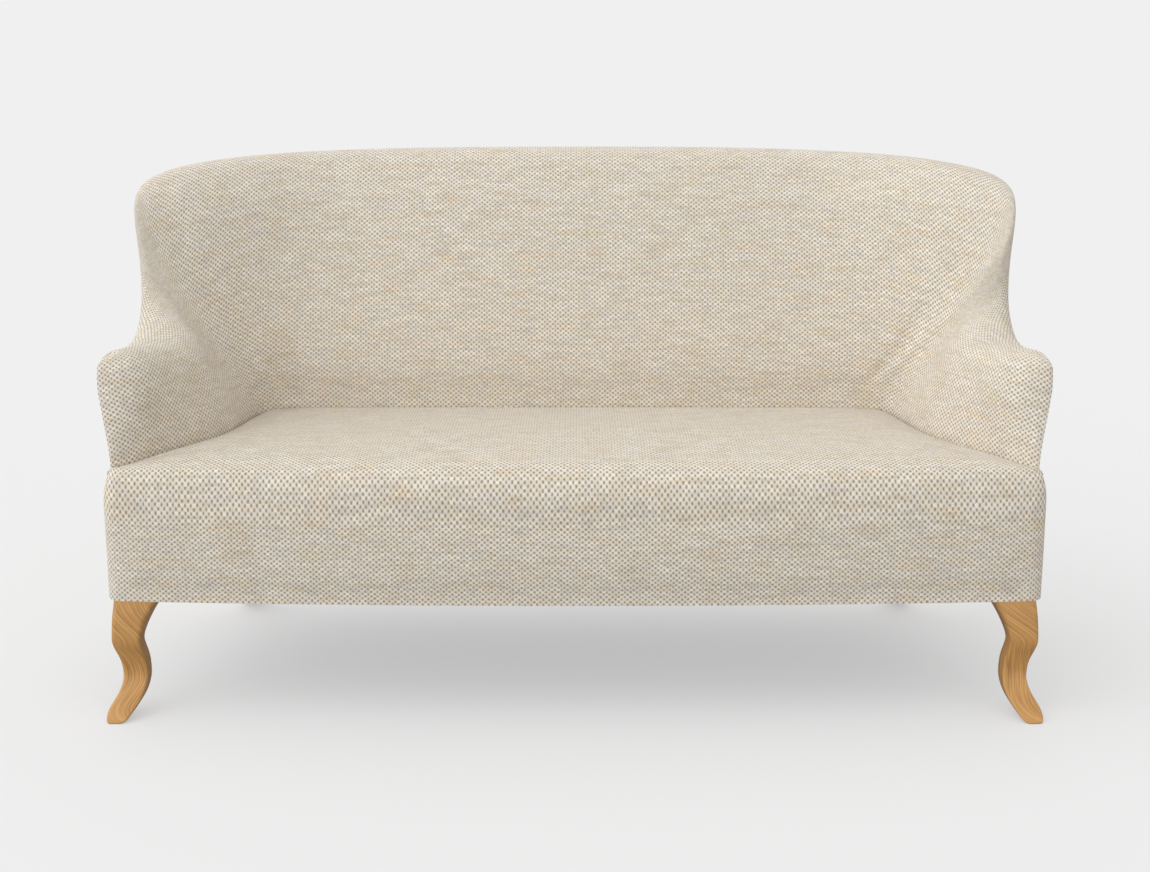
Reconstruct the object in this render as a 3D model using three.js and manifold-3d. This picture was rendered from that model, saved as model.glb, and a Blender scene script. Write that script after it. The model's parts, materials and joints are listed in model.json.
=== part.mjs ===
// High back settee with a fixed T-shaped seat, sweeping arms and a curved, waisted back.
// Millimetres, +Z up, -Y is the front, X runs along the length. The floor is Z = 0.
// The settee is drawn with Y = 0 at the middle of the seat's front face, and the finished
// group is moved so that its origin is the middle of the box it stands in, on the floor.

import * as THREE from 'three';
import Module from 'manifold-3d';

const wasm = await Module();
wasm.setup();

// Overall sizes
const half_width = 850;
const body_depth = 750;
const overall_height = 1005;
const seat_height = 475;
const leg_height = 209;

// Seat sizes
const front_bow = 30;
const seat_front_height = 458;
const seat_crown_height = 480;
const front_wall_top = 385;
const ear_depth = 80;
const front_corner_radius = 34;
const top_roll_depth = 45;
const top_roll_side = 22;
const ear_top_height = 450;
const seam_roll = 26;
const seam_sink = 9;

// Upholstery build-up
const cloth = 2.5;
const clearance = 0.3;
const seam_gap = 0.8;
const rim_gap = 1.8;
const corner_gap = 2.6;
const foam_seam_gap = 10;
const post_top_gap = 13;
const padding_thickness = 20;
const back_foam_thickness = 40;
const edge_foam_thickness = 8.8;
const tuck_depth = 45;
const tuck_hem_drop = 65;
const tuck_rise = 25;
const rim_return = 40;
const dust_cloth = 1.2;
const hessian_thickness = 1.6;
const foam_gap = 0.5;
const board_gap = 0.5;
const strap_width = 60;
const strap_thickness = 2;
const strap_count = 5;

// Timber sizes
const board = 22;
const rail_top = 345;
const post_thickness = 24;
const seat_back_rail_height = 45;
const centre_rail_width = 40;
const centre_rail_height = 70;
const block_height = 60;

// Spring sizes
const spring_count = 6;
const spring_wire = 3.8;
const spring_swing = 24;
const spring_loops = 9;
const spring_span_share = 0.62;

// Leg sizes
const leg_width = 81;
const leg_depth = 75;
const front_leg_y = 62;
const rear_kick_share = 1.2;
const leg_corner_share = 0.16;
const bolt_radius = 4;
const bolt_head_radius = 7.5;
const bolt_head_height = 6;
const bolt_depth = 26;
const bolt_front_set_back = 17.5;
const overrun = 5;
const bore_facet_count = 12;

const base_level = leg_height + clearance;
const skin = cloth + foam_gap;
const outer_skin = cloth + clearance;
const spring_level = rail_top + clearance + spring_wire / 2;
const hessian_low = spring_level + spring_wire / 2 + clearance;
const hessian_top = hessian_low + hessian_thickness;
const deck_height = hessian_top + clearance;

// Colours of the finishes
const cloth_colour = 0xcfc4ae;
const hessian_colour = 0xb09a72;
const foam_colour = 0xe6dcb8;
const timber_colour = 0xc9a877;
const oak_colour = 0xc8924f;
const steel_colour = 0x8d9093;
const strap_colour = 0x6b4a34;
const dust_colour = 0x2b2b2c;

// The upholstered shell of arms, wings and back is one surface. Its stations run from the
// middle of the back (station 0) round the wing to the front of the arm (station 14), and
// each table row holds one line of the shell. A triple is a share of the half width, of the
// body depth and of the rise from the seat to the top, counted in the parts given here.
const across_full_share = 850;
const front_leg_across_share = 795;
const rear_leg_across_share = 694;
const bolt_front_across_share = 786;
const bolt_rear_across_share = 690;
const deep_full_share = 750;
const rear_leg_deep_share = 605;
const bolt_rear_deep_share = 592;
const bearer_deep_share = 530;
const rise_full_share = 530;

const tuck_shares = [
  [0, 513, 0], [260, 513, 0], [430, 513, 0], [530, 512, 0], [580, 510, 0],
  [608, 507, 0], [628, 502, -1], [641, 492, -2], [651, 470, -4], [662, 425, -7],
  [684, 300, -10], [735, 190, -13], [795, 100, -18], [830, 62, -26], [837, 76, -26],
];
const lumbar_shares = [
  [0, 507, 115], [270, 507, 115], [455, 507, 115], [560, 501, 115], [620, 488, 113],
  [655, 470, 111], [677, 450, 109], [689, 430, 107], [698, 405, 105], [706, 365, 101],
  [712, 300, 95], [752, 200, 92], [806, 122, 90], [848, 86, 87], [855, 99, 87],
];
const shoulder_shares = [
  [0, 556, 315], [285, 556, 313], [485, 553, 311], [625, 514, 305], [705, 460, 285],
  [750, 422, 260], [768, 400, 237], [765, 392, 205], [745, 380, 178], [724, 360, 149],
  [720, 299, 132], [760, 204, 131], [810, 130, 129], [853, 94, 125], [860, 106, 123],
];
const brow_shares = [
  [0, 612, 460], [295, 612, 457], [510, 602, 453], [665, 533, 440], [765, 466, 405],
  [818, 424, 370], [828, 405, 325], [814, 394, 269], [783, 384, 218], [745, 354, 184],
  [739, 294, 165], [776, 206, 163], [816, 142, 161], [856, 101, 151], [863, 112, 143],
];
const crest_shares = [
  [0, 650, 529], [300, 650, 527], [520, 640, 521], [685, 580, 509], [790, 505, 480],
  [850, 450, 445], [856, 406, 385], [846, 392, 315], [828, 384, 244], [792, 350, 205],
  [789, 288, 176], [812, 203, 175], [832, 150, 175], [858, 111, 167], [864, 118, 155],
];
const edge_shares = [
  [0, 722, 534], [300, 720, 532], [526, 704, 526], [696, 645, 515], [808, 568, 498],
  [868, 508, 469], [872, 432, 417], [863, 414, 332], [856, 394, 243], [850, 345, 196],
  [849, 276, 178], [850, 198, 173], [854, 148, 176], [861, 119, 171], [866, 124, 158],
];
const rim_shares = [
  [0, 750, 507], [300, 748, 505], [528, 733, 500], [702, 680, 491], [818, 612, 481],
  [870, 552, 455], [874, 478, 415], [865, 456, 330], [863, 430, 228], [863, 350, 165],
  [861, 276, 148], [861, 196, 147], [863, 147, 151], [865, 123, 155], [868, 129, 147],
];
// The outer side and back: the line at half height, and the line along the bottom edge
const belt_shares = [
  [0, 703], [300, 700], [520, 693], [672, 672], [770, 640],
  [808, 590], [816, 526], [817, 478], [814, 430], [816, 352],
  [823, 272], [831, 188], [837, 121], [836, 76], [838, 84],
];
const base_shares = [
  [0, 658], [300, 658], [500, 658], [640, 657], [715, 650],
  [752, 622], [764, 570], [772, 502], [782, 432], [793, 356],
  [806, 272], [820, 190], [832, 122], [838, 82], [839, 88],
];
const corner_station_share = 7.45;
const side_seam_share = 4.5;
const front_station_share = 13;
const last_station_share = 14;

// Stations of the leg from its top to its sole: height as a share of the leg height, sideways
// offset and width as shares of the leg width, forward offset and depth as shares of its depth
const leg_shares = [
  [1, 0, 1, 0, 1], [0.852, 0.14, 0.79, 0.09, 0.92], [0.699, 0.22, 0.655, 0.13, 0.61],
  [0.598, 0.215, 0.62, 0.09, 0.56], [0.474, 0.135, 0.58, -0.03, 0.52],
  [0.373, 0.11, 0.56, -0.09, 0.5], [0.282, 0.105, 0.555, -0.03, 0.51],
  [0.182, 0.165, 0.58, 0.22, 0.55], [0.096, 0.28, 0.58, 0.53, 0.56],
  [0.024, 0.35, 0.45, 0.79, 0.47], [0, 0.375, 0.27, 0.81, 0.31],
];
const leg_level_shares = [0, 1, 1.5, 2, 2.5, 3, 4, 5, 5.5, 6, 6.5, 7, 7.5, 8, 8.6, 9, 10];

// Vector helpers on plain [x, y, z] arrays
const plus = (p, q, scale = 1) => p.map((value, k) => value + q[k] * scale);
const minus = (p, q) => p.map((value, k) => value - q[k]);
const blend = (p, q, share) => p.map((value, k) => value + (q[k] - value) * share);
const length = (p) => Math.hypot(...p);
const unit = (p) => p.map((value) => value / length(p));
const cross = (p, q) => [
  p[1] * q[2] - p[2] * q[1],
  p[2] * q[0] - p[0] * q[2],
  p[0] * q[1] - p[1] * q[0],
];
const bisect_count = 30;
const bisect = (test, low, high) => {
  let [near, far] = [low, high];
  for (let k = 0; k < bisect_count; k += 1) {
    const middle = (near + far) / 2;
    if (test(middle)) near = middle;
    else far = middle;
  }
  return (near + far) / 2;
};

// Natural cubic spline through evenly spaced rows of numbers
function natural_spline(rows) {
  const last = rows.length - 1;
  const width = rows[0].length;
  const bend = rows.map(() => new Array(width).fill(0));
  const factor = new Array(rows.length).fill(0);
  const known = rows.map(() => new Array(width).fill(0));
  for (let k = 1; k < last; k += 1) {
    const pivot = 4 - factor[k - 1];
    factor[k] = 1 / pivot;
    for (let j = 0; j < width; j += 1) {
      const second = 6 * (rows[k - 1][j] - 2 * rows[k][j] + rows[k + 1][j]);
      known[k][j] = (second - known[k - 1][j]) / pivot;
    }
  }
  for (let k = last - 1; k > 0; k -= 1) {
    for (let j = 0; j < width; j += 1) {
      bend[k][j] = known[k][j] - factor[k] * bend[k + 1][j];
    }
  }
  return (place) => {
    const k = Math.min(Math.max(Math.floor(place), 0), last - 1);
    const f = place - k;
    const g = 1 - f;
    return rows[k].map((value, j) => value * g + rows[k + 1][j] * f
      + ((g ** 3 - g) * bend[k][j] + (f ** 3 - f) * bend[k + 1][j]) / 6);
  };
}

// Turns a table of shares into millimetres, on both sides of the middle
const place_across = (share) => (half_width * share) / across_full_share;
const place_deep = (share) => (body_depth * share) / deep_full_share;
const place_up = (share) => seat_height + ((overall_height - seat_height) * share) / rise_full_share;

// Places that keep their share of the length and the depth: legs, bolts and spring bearer
const front_leg_x = place_across(front_leg_across_share);
const rear_leg_x = place_across(rear_leg_across_share);
const rear_leg_y = place_deep(rear_leg_deep_share);
const bolt_front_x = place_across(bolt_front_across_share);
const bolt_front_y = front_leg_y + bolt_front_set_back;
const bolt_rear_x = place_across(bolt_rear_across_share);
const bolt_rear_y = place_deep(bolt_rear_deep_share);
const seat_back_rail_y = place_deep(bearer_deep_share);

const placed = ([x, y, z]) => [
  place_across(x), place_deep(y), z === undefined ? base_level : place_up(z)];
const both_sides = (row) => [
  ...row.slice(1).reverse().map(([x, ...rest]) => [-x, ...rest]), ...row];

// Control lines of the shell, bottom to rim. The first three stand upright in the seam
// between seat and shell, and the last one continues the rim down the outer face.
const up = [0, 0, 1];
const tuck_line = tuck_shares.map(placed);
const base_line = base_shares.map(placed);
const rim_line = rim_shares.map(placed);
const shell_lines = [
  tuck_line.map((p) => plus(p, up, -tuck_depth - tuck_hem_drop)),
  tuck_line.map((p) => plus(p, up, -tuck_depth)),
  tuck_line.map((p) => plus(p, up, tuck_rise)),
  lumbar_shares.map(placed),
  shoulder_shares.map(placed),
  brow_shares.map(placed),
  crest_shares.map(placed),
  edge_shares.map(placed),
  rim_line,
  rim_line.map((p, k) => plus(p, unit(minus(base_line[k], p)), rim_return)),
].map(both_sides);
const shell_rows = natural_spline(shell_lines[0].map((_, k) => shell_lines.flatMap((l) => l[k])));
const belt_line = both_sides(belt_shares.map(placed));
const foot_line = both_sides(base_line);
const outer_rows = natural_spline(belt_line.map(([x, y], k) => [
  x, y, foot_line[k][0], foot_line[k][1]]));
const tuck_curve = natural_spline(both_sides(tuck_line));
const first_row_share = 1;
const last_row_share = 8;
const tolerance_share = 1e-6;

// A point of the shell: a is the station, b the place between the control lines
const row_store = new Map();
function rows_at(a) {
  if (!row_store.has(a)) row_store.set(a, shell_rows(a + last_station_share));
  return row_store.get(a);
}
function shell_point(a, b) {
  const rows = rows_at(a);
  const k = Math.min(Math.max(Math.floor(b), first_row_share), last_row_share - 1);
  const f = b - k;
  const weights = [
    (1 - f) ** 3 / 6, (3 * f ** 3 - 6 * f ** 2 + 4) / 6,
    (-3 * f ** 3 + 3 * f ** 2 + 3 * f + 1) / 6, f ** 3 / 6];
  return [0, 1, 2].map((axis) => weights.reduce(
    (sum, weight, j) => sum + weight * rows[(k - 1 + j) * 3 + axis], 0));
}

// A point of the outer side and back: t is 0 at the rim and 1 at the bottom edge
function outer_point(a, t) {
  const rim = shell_point(a, last_row_share);
  const [belt_x, belt_y, base_x, base_y] = outer_rows(a + last_station_share);
  const bulge_x = 2 * belt_x - (rim[0] + base_x) / 2;
  const bulge_y = 2 * belt_y - (rim[1] + base_y) / 2;
  const s = 1 - t;
  return [
    s * s * rim[0] + 2 * s * t * bulge_x + t * t * base_x,
    s * s * rim[1] + 2 * s * t * bulge_y + t * t * base_y,
    s * rim[2] + t * base_level,
  ];
}

// Plan of the seat's front face on one side: u is 0 in the middle and 1 at the ear's rear end
const front_share = 0.9;
const corner_share = 0.96;
function front_plan(u) {
  const size = Math.abs(u);
  const straight = half_width - front_corner_radius;
  const bow = (x) => front_bow * (x / half_width) ** 2;
  const corner_y = bow(straight) + front_corner_radius;
  let x = (straight * size) / front_share;
  let y = bow(x);
  if (size > front_share) {
    const turn = (Math.min(size, corner_share) - front_share) / (corner_share - front_share);
    const angle = (turn * Math.PI) / 2;
    x = straight + front_corner_radius * Math.sin(angle);
    y = corner_y - front_corner_radius * Math.cos(angle);
  }
  if (size > corner_share) {
    y += ((ear_depth - corner_y) * (size - corner_share)) / (1 - corner_share);
  }
  return [Math.sign(u) * x, y];
}

// A point of the seat. v runs 0 to 1 up the front face, 1 to 2 over the top roll and 2 to 3
// from the front of the top back to the seam under the inner back.
const across_power_share = 4;
const edge_power_share = 12;
const pull_power_share = 6;
const crown_share = 0.35;
const ear_edge_share = 0.02;
const ear_turn_share = 1.2;
const front_run_share = 0.22;
function roll_sink(gap) {
  const share = 1 - Math.min(Math.max(gap, 0) / seam_roll, 1);
  return seam_sink * (1 - Math.sqrt(1 - share * share));
}
const rear_run_shares = [[0, 0], [0.25, 0.75], [0.5, 1.5], [0.7, 2.5], [0.83, 3.8],
  [0.9, 5.6], [0.93, 6.3], [0.96, 7], [0.98, 7.2], [1, corner_station_share]];
function rear_place(u) {
  const k = rear_run_shares.findIndex(([share]) => share >= u - tolerance_share);
  if (k <= 0) return 0;
  const [[from, low], [to, high]] = [rear_run_shares[k - 1], rear_run_shares[k]];
  return low + ((high - low) * (u - from)) / (to - from);
}
function seat_top(u, depth_share) {
  const station = front_station_share
    + (corner_station_share - front_station_share) * depth_share;
  const end = tuck_edge(station);
  const [front_x, front_y] = front_plan(u);
  const ear = front_y / ear_depth;
  const out = (Math.abs(front_x) / half_width) * (1 - ear_edge_share) + ear_edge_share * ear;
  const settled = Math.min(depth_share / front_run_share, 1);
  const bend = ear + (out * out - ear) * settled;
  const middle_y = top_roll_depth + (tuck_edge(0)[1] - top_roll_depth) * depth_share;
  const pull = depth_share ** pull_power_share;
  const rear = tuck_edge(Math.sign(u) * rear_place(Math.abs(u)));
  const x = blend([out * end[0] * Math.sign(u)], [rear[0]], pull)[0];
  const y = blend([middle_y + (end[1] - middle_y) * bend], [rear[1]], pull)[0];
  const rise = Math.sin((Math.min(depth_share * 2, 1) * Math.PI) / 2);
  const middle_z = seat_front_height + (seat_crown_height - seat_front_height) * rise;
  const edge_z = ear_top_height + (end[2] - ear_top_height) * settled;
  const fall = Math.max(crown_share * out ** across_power_share, out ** edge_power_share);
  const sink = Math.max(roll_sink(end[0] - Math.abs(x)) * settled, roll_sink(tuck_edge(0)[1] - y));
  return [x, y, middle_z - (middle_z - edge_z) * fall - sink];
}
const clamped = (value, low, high) => Math.min(Math.max(value, low), high);
function seat_point(place_u, place_v) {
  const u = clamped(place_u, -1, 1);
  const v = clamped(place_v, 0, 3);
  const [x, y] = front_plan(u);
  if (v <= 1) return [x, y, base_level + (front_wall_top - base_level) * v];
  if (v >= 2) return seat_top(u, v - 2);
  const angle = ((v - 1) * Math.PI) / 2;
  const top = seat_top(u, 0);
  const inward = 1 - Math.cos(angle);
  const ear_run = clamped((Math.abs(u) - corner_share) / (1 - corner_share), 0, 1);
  return [
    x + (top[0] - x) * inward,
    y + (top[1] - y) * Math.min(inward * (1 + ear_turn_share * ear_run), 1),
    front_wall_top + (top[2] - front_wall_top) * Math.sin(angle),
  ];
}


// Outward normal of a surface of two parameters, and a point set in below the surface
const nudge = 0.002;
function normal_of(point, a, b) {
  const along = minus(point(a + nudge, b), point(a - nudge, b));
  const across = minus(point(a, b + nudge), point(a, b - nudge));
  return unit(cross(along, across));
}
const sunk = (point, a, b, depth) => plus(point(a, b), normal_of(point, a, b), -depth);

// The seam line of the seat, one seam gap off the shell from its hem up to the seat's level
const tuck_row_share = 1.7;
const tuck_store = new Map();
function tuck_edge(a) {
  if (!tuck_store.has(a)) {
    const low = sunk(shell_point, a, first_row_share, -seam_gap);
    const high = sunk(shell_point, a, tuck_row_share, -seam_gap);
    const x = Math.sign(a) * Math.min(Math.abs(low[0]), Math.abs(high[0]));
    const y = Math.min(low[1], high[1]);
    tuck_store.set(a, [x, y, tuck_curve(a + last_station_share)[2]]);
  }
  return tuck_store.get(a);
}

// Closed body from a list of points and faces, turned so that its faces point outwards
function body_of(points, faces) {
  let volume = 0;
  for (const [i, j, k] of faces) {
    const [p, q, r] = [points[i], points[j], points[k]];
    volume += cross(p, q).reduce((sum, value, axis) => sum + value * r[axis], 0);
  }
  const turned = volume < 0 ? faces.map(([i, j, k]) => [i, k, j]) : faces;
  const geometry = new THREE.BufferGeometry();
  geometry.setAttribute('position', new THREE.Float32BufferAttribute(points.flat(), 3));
  geometry.setIndex(turned.flat());
  return geometry;
}

// Closed slab between an upper and a lower grid of points. The square faces are split along
// one diagonal, and along the other one up to the middle row of a slab that is symmetric.
function slab(upper, lower, middle = 0) {
  const rows = upper.length;
  const columns = upper[0].length;
  const points = [...upper.flat(), ...lower.flat()];
  const shift = rows * columns;
  const faces = [];
  const quad = (i, j, k, l) => faces.push([i, j, k], [i, k, l]);
  for (let r = 0; r + 1 < rows; r += 1) {
    for (let c = 0; c + 1 < columns; c += 1) {
      const i = r * columns + c;
      const corners = [i, i + columns, i + columns + 1, i + 1];
      if (r < middle) corners.push(corners.shift());
      const [p, q, t, u] = corners;
      quad(p, q, t, u);
      quad(shift + p, shift + u, shift + t, shift + q);
    }
  }
  const rim = [];
  for (let c = 0; c < columns; c += 1) rim.push(c);
  for (let r = 1; r < rows; r += 1) rim.push(r * columns + columns - 1);
  for (let c = columns - 2; c >= 0; c -= 1) rim.push((rows - 1) * columns + c);
  for (let r = rows - 2; r > 0; r -= 1) rim.push(r * columns);
  rim.forEach((i, k) => {
    const j = rim[(k + 1) % rim.length];
    quad(i, j, j + shift, i + shift);
  });
  return body_of(points, faces);
}

// Slab that follows a surface, between two depths below it
const entry_value = (entry, other) => (typeof entry === 'function' ? entry(other) : entry);
function sheet(point, a_list, b_list, near, far) {
  const grid = (depth) => a_list.map((a_entry) => b_list.map((b) => {
    const a = entry_value(a_entry, b);
    return sunk(point, a, b, depth(a, b));
  }));
  const first = entry_value(a_list[0], b_list[0]);
  const both = first < 0 && entry_value(a_list[a_list.length - 1], b_list[0]) > 0;
  return slab(grid(near), grid(far), both ? (a_list.length - 1) / 2 : 0);
}

// Closed body through rings of points, with flat ends
function loft(rings) {
  const count = rings[0].length;
  const faces = [];
  for (let r = 0; r + 1 < rings.length; r += 1) {
    for (let k = 0; k < count; k += 1) {
      const next = (k + 1) % count;
      const [i, j] = [r * count + k, r * count + next];
      faces.push([i, j, j + count], [i, j + count, i + count]);
    }
  }
  const end = (rings.length - 1) * count;
  for (let k = 1; k + 1 < count; k += 1) {
    faces.push([0, k + 1, k], [end, end + k, end + k + 1]);
  }
  return body_of(rings.flat(), faces);
}

// Cuts one closed geometry out of another
function solid_of(geometry) {
  const mesh = new wasm.Mesh({
    numProp: 3,
    vertProperties: new Float32Array(geometry.attributes.position.array),
    triVerts: new Uint32Array(geometry.index.array),
  });
  return new wasm.Manifold(mesh);
}
function cut(geometry, tool) {
  const mesh = solid_of(geometry).subtract(solid_of(tool)).getMesh();
  const result = new THREE.BufferGeometry();
  result.setAttribute('position', new THREE.Float32BufferAttribute(mesh.vertProperties, 3));
  result.setIndex(Array.from(mesh.triVerts));
  return result;
}

// Stations and rows shared by every piece that follows the shell or the outer face, so that
// the flat faces of neighbours lie alongside each other
const half_back_stations = [0.75, 1.5, 2.5, 3.2, 3.8, side_seam_share, 5.1, 5.6, 6.3, 7];
const arm_stations = [8, 8.6, 9.2, 9.8, 10.5, 11.2, 11.8, 12.3, 12.7, 13, 13.4, 14];
const station_list = [0, ...half_back_stations, corner_station_share, ...arm_stations];
const shell_row_list = [1, 1.7, 2.4, 3.1, 3.9, 4.7, 5.4, 5.9, 6.3, 6.7, 7.2, 7.6, 8];
const outer_share_list = [0.12, 0.35, 0.65];

// The list entries on each side of a value, and how far along between them the value is
function bracket(list, value) {
  const k = Math.max(1, list.findIndex((entry) => entry >= value - tolerance_share));
  return [list[k - 1], list[k], (value - list[k - 1]) / (list[k] - list[k - 1])];
}
const stations_between = (from, to) =>
  [from, ...station_list.filter((a) => a > from + tolerance_share && a < to - tolerance_share), to];

// Foam depth: full on the seat side of the shell, thin where it turns over the crest and
// towards the front edge of the arm
const foam_thin_from_share = 3.6;
const foam_thin_to_share = 5.6;
const foam_front_from_share = 10.6;
const foam_front_to_share = 12.3;
const smooth = (value, from, to) => {
  const share = Math.min(Math.max((value - from) / (to - from), 0), 1);
  return share * share * (3 - 2 * share);
};
const ridge_near_share = 0.3;
const ridge_far_share = 1.8;
const ridge_from_share = 1.7;
const ridge_to_share = 3.7;
function foam_under(a, b) {
  const off_ridge = smooth(Math.abs(Math.abs(a) - corner_station_share),
    ridge_near_share, ridge_far_share);
  const thin = Math.max(smooth(b, foam_thin_from_share, foam_thin_to_share),
    smooth(Math.abs(a), foam_front_from_share, foam_front_to_share),
    (1 - off_ridge) * smooth(b, ridge_from_share, ridge_to_share));
  return skin + back_foam_thickness + (edge_foam_thickness - back_foam_thickness) * thin;
}

// A point on the flat faces of the foam's under side, at station a and row b
const under_store = new Map();
function under_at(a, b) {
  const key = `${a} ${b}`;
  if (!under_store.has(key)) {
    under_store.set(key, sunk(shell_point, a, b, foam_under(a, b) + clearance));
  }
  return under_store.get(key);
}
function on_faces(low, high, share, place) {
  const k = Math.min(Math.floor(place), low.length - 2);
  const run = place - k;
  const corner = share > run ? high[k] : low[k + 1];
  const [from, to] = share > run ? [share, run] : [run, share];
  return plus(plus(low[k], minus(corner, low[k]), from), minus(high[k + 1], corner), to);
}
function under_flat(a, b) {
  const [low, high, share] = bracket(station_list, Math.abs(a));
  const [row, , run] = bracket(shell_row_list, b);
  const side = Math.sign(a) || 1;
  const column = (station) => shell_row_list.map((entry) => under_at(side * station, entry));
  return on_faces(column(low), column(high), share, shell_row_list.indexOf(row) + run);
}

// Rows of the outer face at one station: from just under the rim to the level of the rails'
// top edge, and on to the bottom edge
function outer_places(a) {
  const rim_way = unit(minus(outer_point(a + nudge, 0), outer_point(a - nudge, 0)));
  const down_way = minus(outer_point(a, nudge), outer_point(a, 0));
  const start = (rim_gap * nudge) / length(cross(down_way, rim_way));
  const rail = bisect((t) => outer_point(a, t)[2] > rail_top, 0, 1);
  return [start, ...outer_share_list.map((share) => start + (rail - start) * share), rail,
    (1 + rail) / 2, 1];
}

// The point of the outer face's flat faces at a level, set in by a depth
const outer_column = (a, depth) => outer_places(a).map((t) => {
  const p = sunk(outer_point, a, t, depth);
  return [p[0], p[1], outer_point(a, t)[2]];
});
const column_store = new Map();
function outer_flat(a, level, depth) {
  const [low, high, share] = bracket(station_list, Math.abs(a));
  const side = Math.sign(a) || 1;
  const [first, second] = [low, high].map((station) => {
    const key = `${side * station} ${depth}`;
    if (!column_store.has(key)) column_store.set(key, outer_column(side * station, depth));
    return column_store.get(key);
  });
  const place = bisect((row) => on_faces(first, second, share, row)[2] > level,
    0, first.length - 1);
  const p = on_faces(first, second, share, place);
  return [p[0], p[1], level];
}

// A point of the space between the foam and the outer face, a distance behind the foam
function cavity(a, b, distance) {
  const front = under_flat(a, b);
  const rear = outer_flat(a, front[2], outer_skin);
  return plus(front, unit(minus(rear, front)), distance);
}

// The station or row step that keeps a given distance along a surface
const station_step = (point, a, b, distance) =>
  (distance * nudge) / length(minus(point(a + nudge, b), point(a, b)));
const row_step = (point, a, b, distance) =>
  (distance * nudge) / length(minus(point(a, b + nudge), point(a, b)));

// Finishes
const finish = (color, roughness, metalness = 0) =>
  new THREE.MeshStandardMaterial({ color, roughness, metalness, side: THREE.FrontSide });
const finishes = {
  cloth: () => finish(cloth_colour, 0.95),
  hessian: () => finish(hessian_colour, 0.95),
  foam: () => finish(foam_colour, 0.9),
  timber: () => finish(timber_colour, 0.8),
  oak: () => finish(oak_colour, 0.45),
  steel: () => finish(steel_colour, 0.4, 1),
  strap: () => finish(strap_colour, 0.9),
  dust: () => finish(dust_colour, 0.95),
};

const settee = new THREE.Group();
function add(name, geometry, material) {
  const mesh = new THREE.Mesh(geometry, finishes[material]());
  mesh.name = name;
  settee.add(mesh);
}
const sides = [['left', -1], ['right', 1]];

// Cover and foam of the inner back with its wings
const corner_edge = (side, turn, gap) => (b) => side * (corner_station_share
  + turn * station_step(shell_point, corner_station_share, b, gap / 2));
function inner_back() {
  const stations = (gap) => [corner_edge(-1, -1, gap),
    ...half_back_stations.map((a) => -a).reverse(), 0, ...half_back_stations,
    corner_edge(1, -1, gap)];
  add('back_cover', sheet(shell_point, stations(corner_gap), shell_row_list,
    () => 0, () => cloth), 'cloth');
  add('back_foam', sheet(shell_point, stations(foam_seam_gap), shell_row_list,
    () => skin, foam_under), 'foam');
}

// Cover and foam of each arm, from the seam at the inner back round the front of the arm
function arms() {
  const foam_stations = arm_stations.filter((a) => a <= foam_front_to_share);
  for (const [name, side] of sides) {
    const turned = (list, gap) => [corner_edge(side, 1, gap), ...list.map((a) => side * a)];
    add(`arm_cover_${name}`, sheet(shell_point, turned(arm_stations, corner_gap),
      shell_row_list, () => 0, () => cloth), 'cloth');
    add(`arm_foam_${name}`, sheet(shell_point, turned(foam_stations, foam_seam_gap),
      shell_row_list, () => skin, foam_under), 'foam');
  }
}

// Seat: cover, foam block under it, padding over the front rail and hessian over the springs
const half_seat_list = [0.25, 0.5, 0.7, 0.83, 0.9, 0.93, 0.96, 0.98, 1];
const mirrored = (list) => [...list.map((u) => -u).reverse(), 0, ...list];
const wall_list = [0, 0.5, 1];
const roll_list = [1.25, 1.5, 1.75, 2];
const top_list = [12.7, 12.3, 11.8, 11.2, 10.5, 9.8, 9.2, 8.6, 8, corner_station_share].map(
  (a) => 2 + (front_station_share - a) / (front_station_share - corner_station_share));
const padding_end_share = 0.96;
function seat_soft_parts() {
  const seat_list = mirrored(half_seat_list);
  const rows = [...wall_list, ...roll_list, ...top_list];
  add('seat_cover', sheet(seat_point, seat_list, rows, () => 0, () => cloth), 'cloth');
  const foam_rows = [wall_list[2], ...roll_list, ...top_list];
  const foam_list = mirrored(half_seat_list.filter((u) => u <= corner_share));
  const upper = foam_list.map((u) => foam_rows.map((v) => sunk(seat_point, u, v, skin)));
  const flat = (grid, level) => grid.map((row) => row.map(([x, y]) => [x, y, level]));
  const middle = (foam_list.length - 1) / 2;
  add('seat_foam', slab(upper, flat(upper, deck_height), middle), 'foam');
  const deck_rows = [foam_rows[0], foam_rows[4], ...top_list];
  const deck = foam_list.map((u) => deck_rows.map((v) => sunk(seat_point, u, v, skin)));
  add('seat_hessian',
    slab(flat(deck, hessian_top), flat(deck, hessian_low), middle), 'hessian');
  const padding_top = (hessian_low - clearance - base_level) / (front_wall_top - base_level);
  const padding_list = mirrored([...half_seat_list.filter((u) => u < padding_end_share),
    padding_end_share]);
  add('front_padding', sheet(seat_point, padding_list, [0, padding_top],
    () => skin, () => skin + padding_thickness), 'foam');
}

// Outer side panels and outer back, sewn to the rim of the shell and the bottom edge. The
// front edge of a side panel slips under the lip of the arm cover.
const lip_from_share = 12;
const lip_depth = 1.7;
const seam_level_share = 0.5;
function outer_covers() {
  const panel = (stations) => {
    const grid = (depth) => stations.map((a) => {
      const set_in = depth + lip_depth * smooth(Math.abs(a), lip_from_share, front_station_share);
      return outer_column(a, set_in);
    });
    return slab(grid(0), grid(cloth), stations[0] < 0 && stations[stations.length - 1] > 0
      ? (stations.length - 1) / 2 : 0);
  };
  const seam = station_step(outer_point, side_seam_share, seam_level_share, seam_gap / 2);
  const back = half_back_stations.filter((a) => a < side_seam_share);
  add('outer_back', panel(mirrored([...back, side_seam_share - seam])), 'cloth');
  const right = [side_seam_share + seam, ...stations_between(
    side_seam_share + seam, front_station_share).slice(1)];
  for (const [name, side] of sides) {
    add(`outer_side_${name}`, panel(right.map((a) => side * a)), 'cloth');
  }
}

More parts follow.
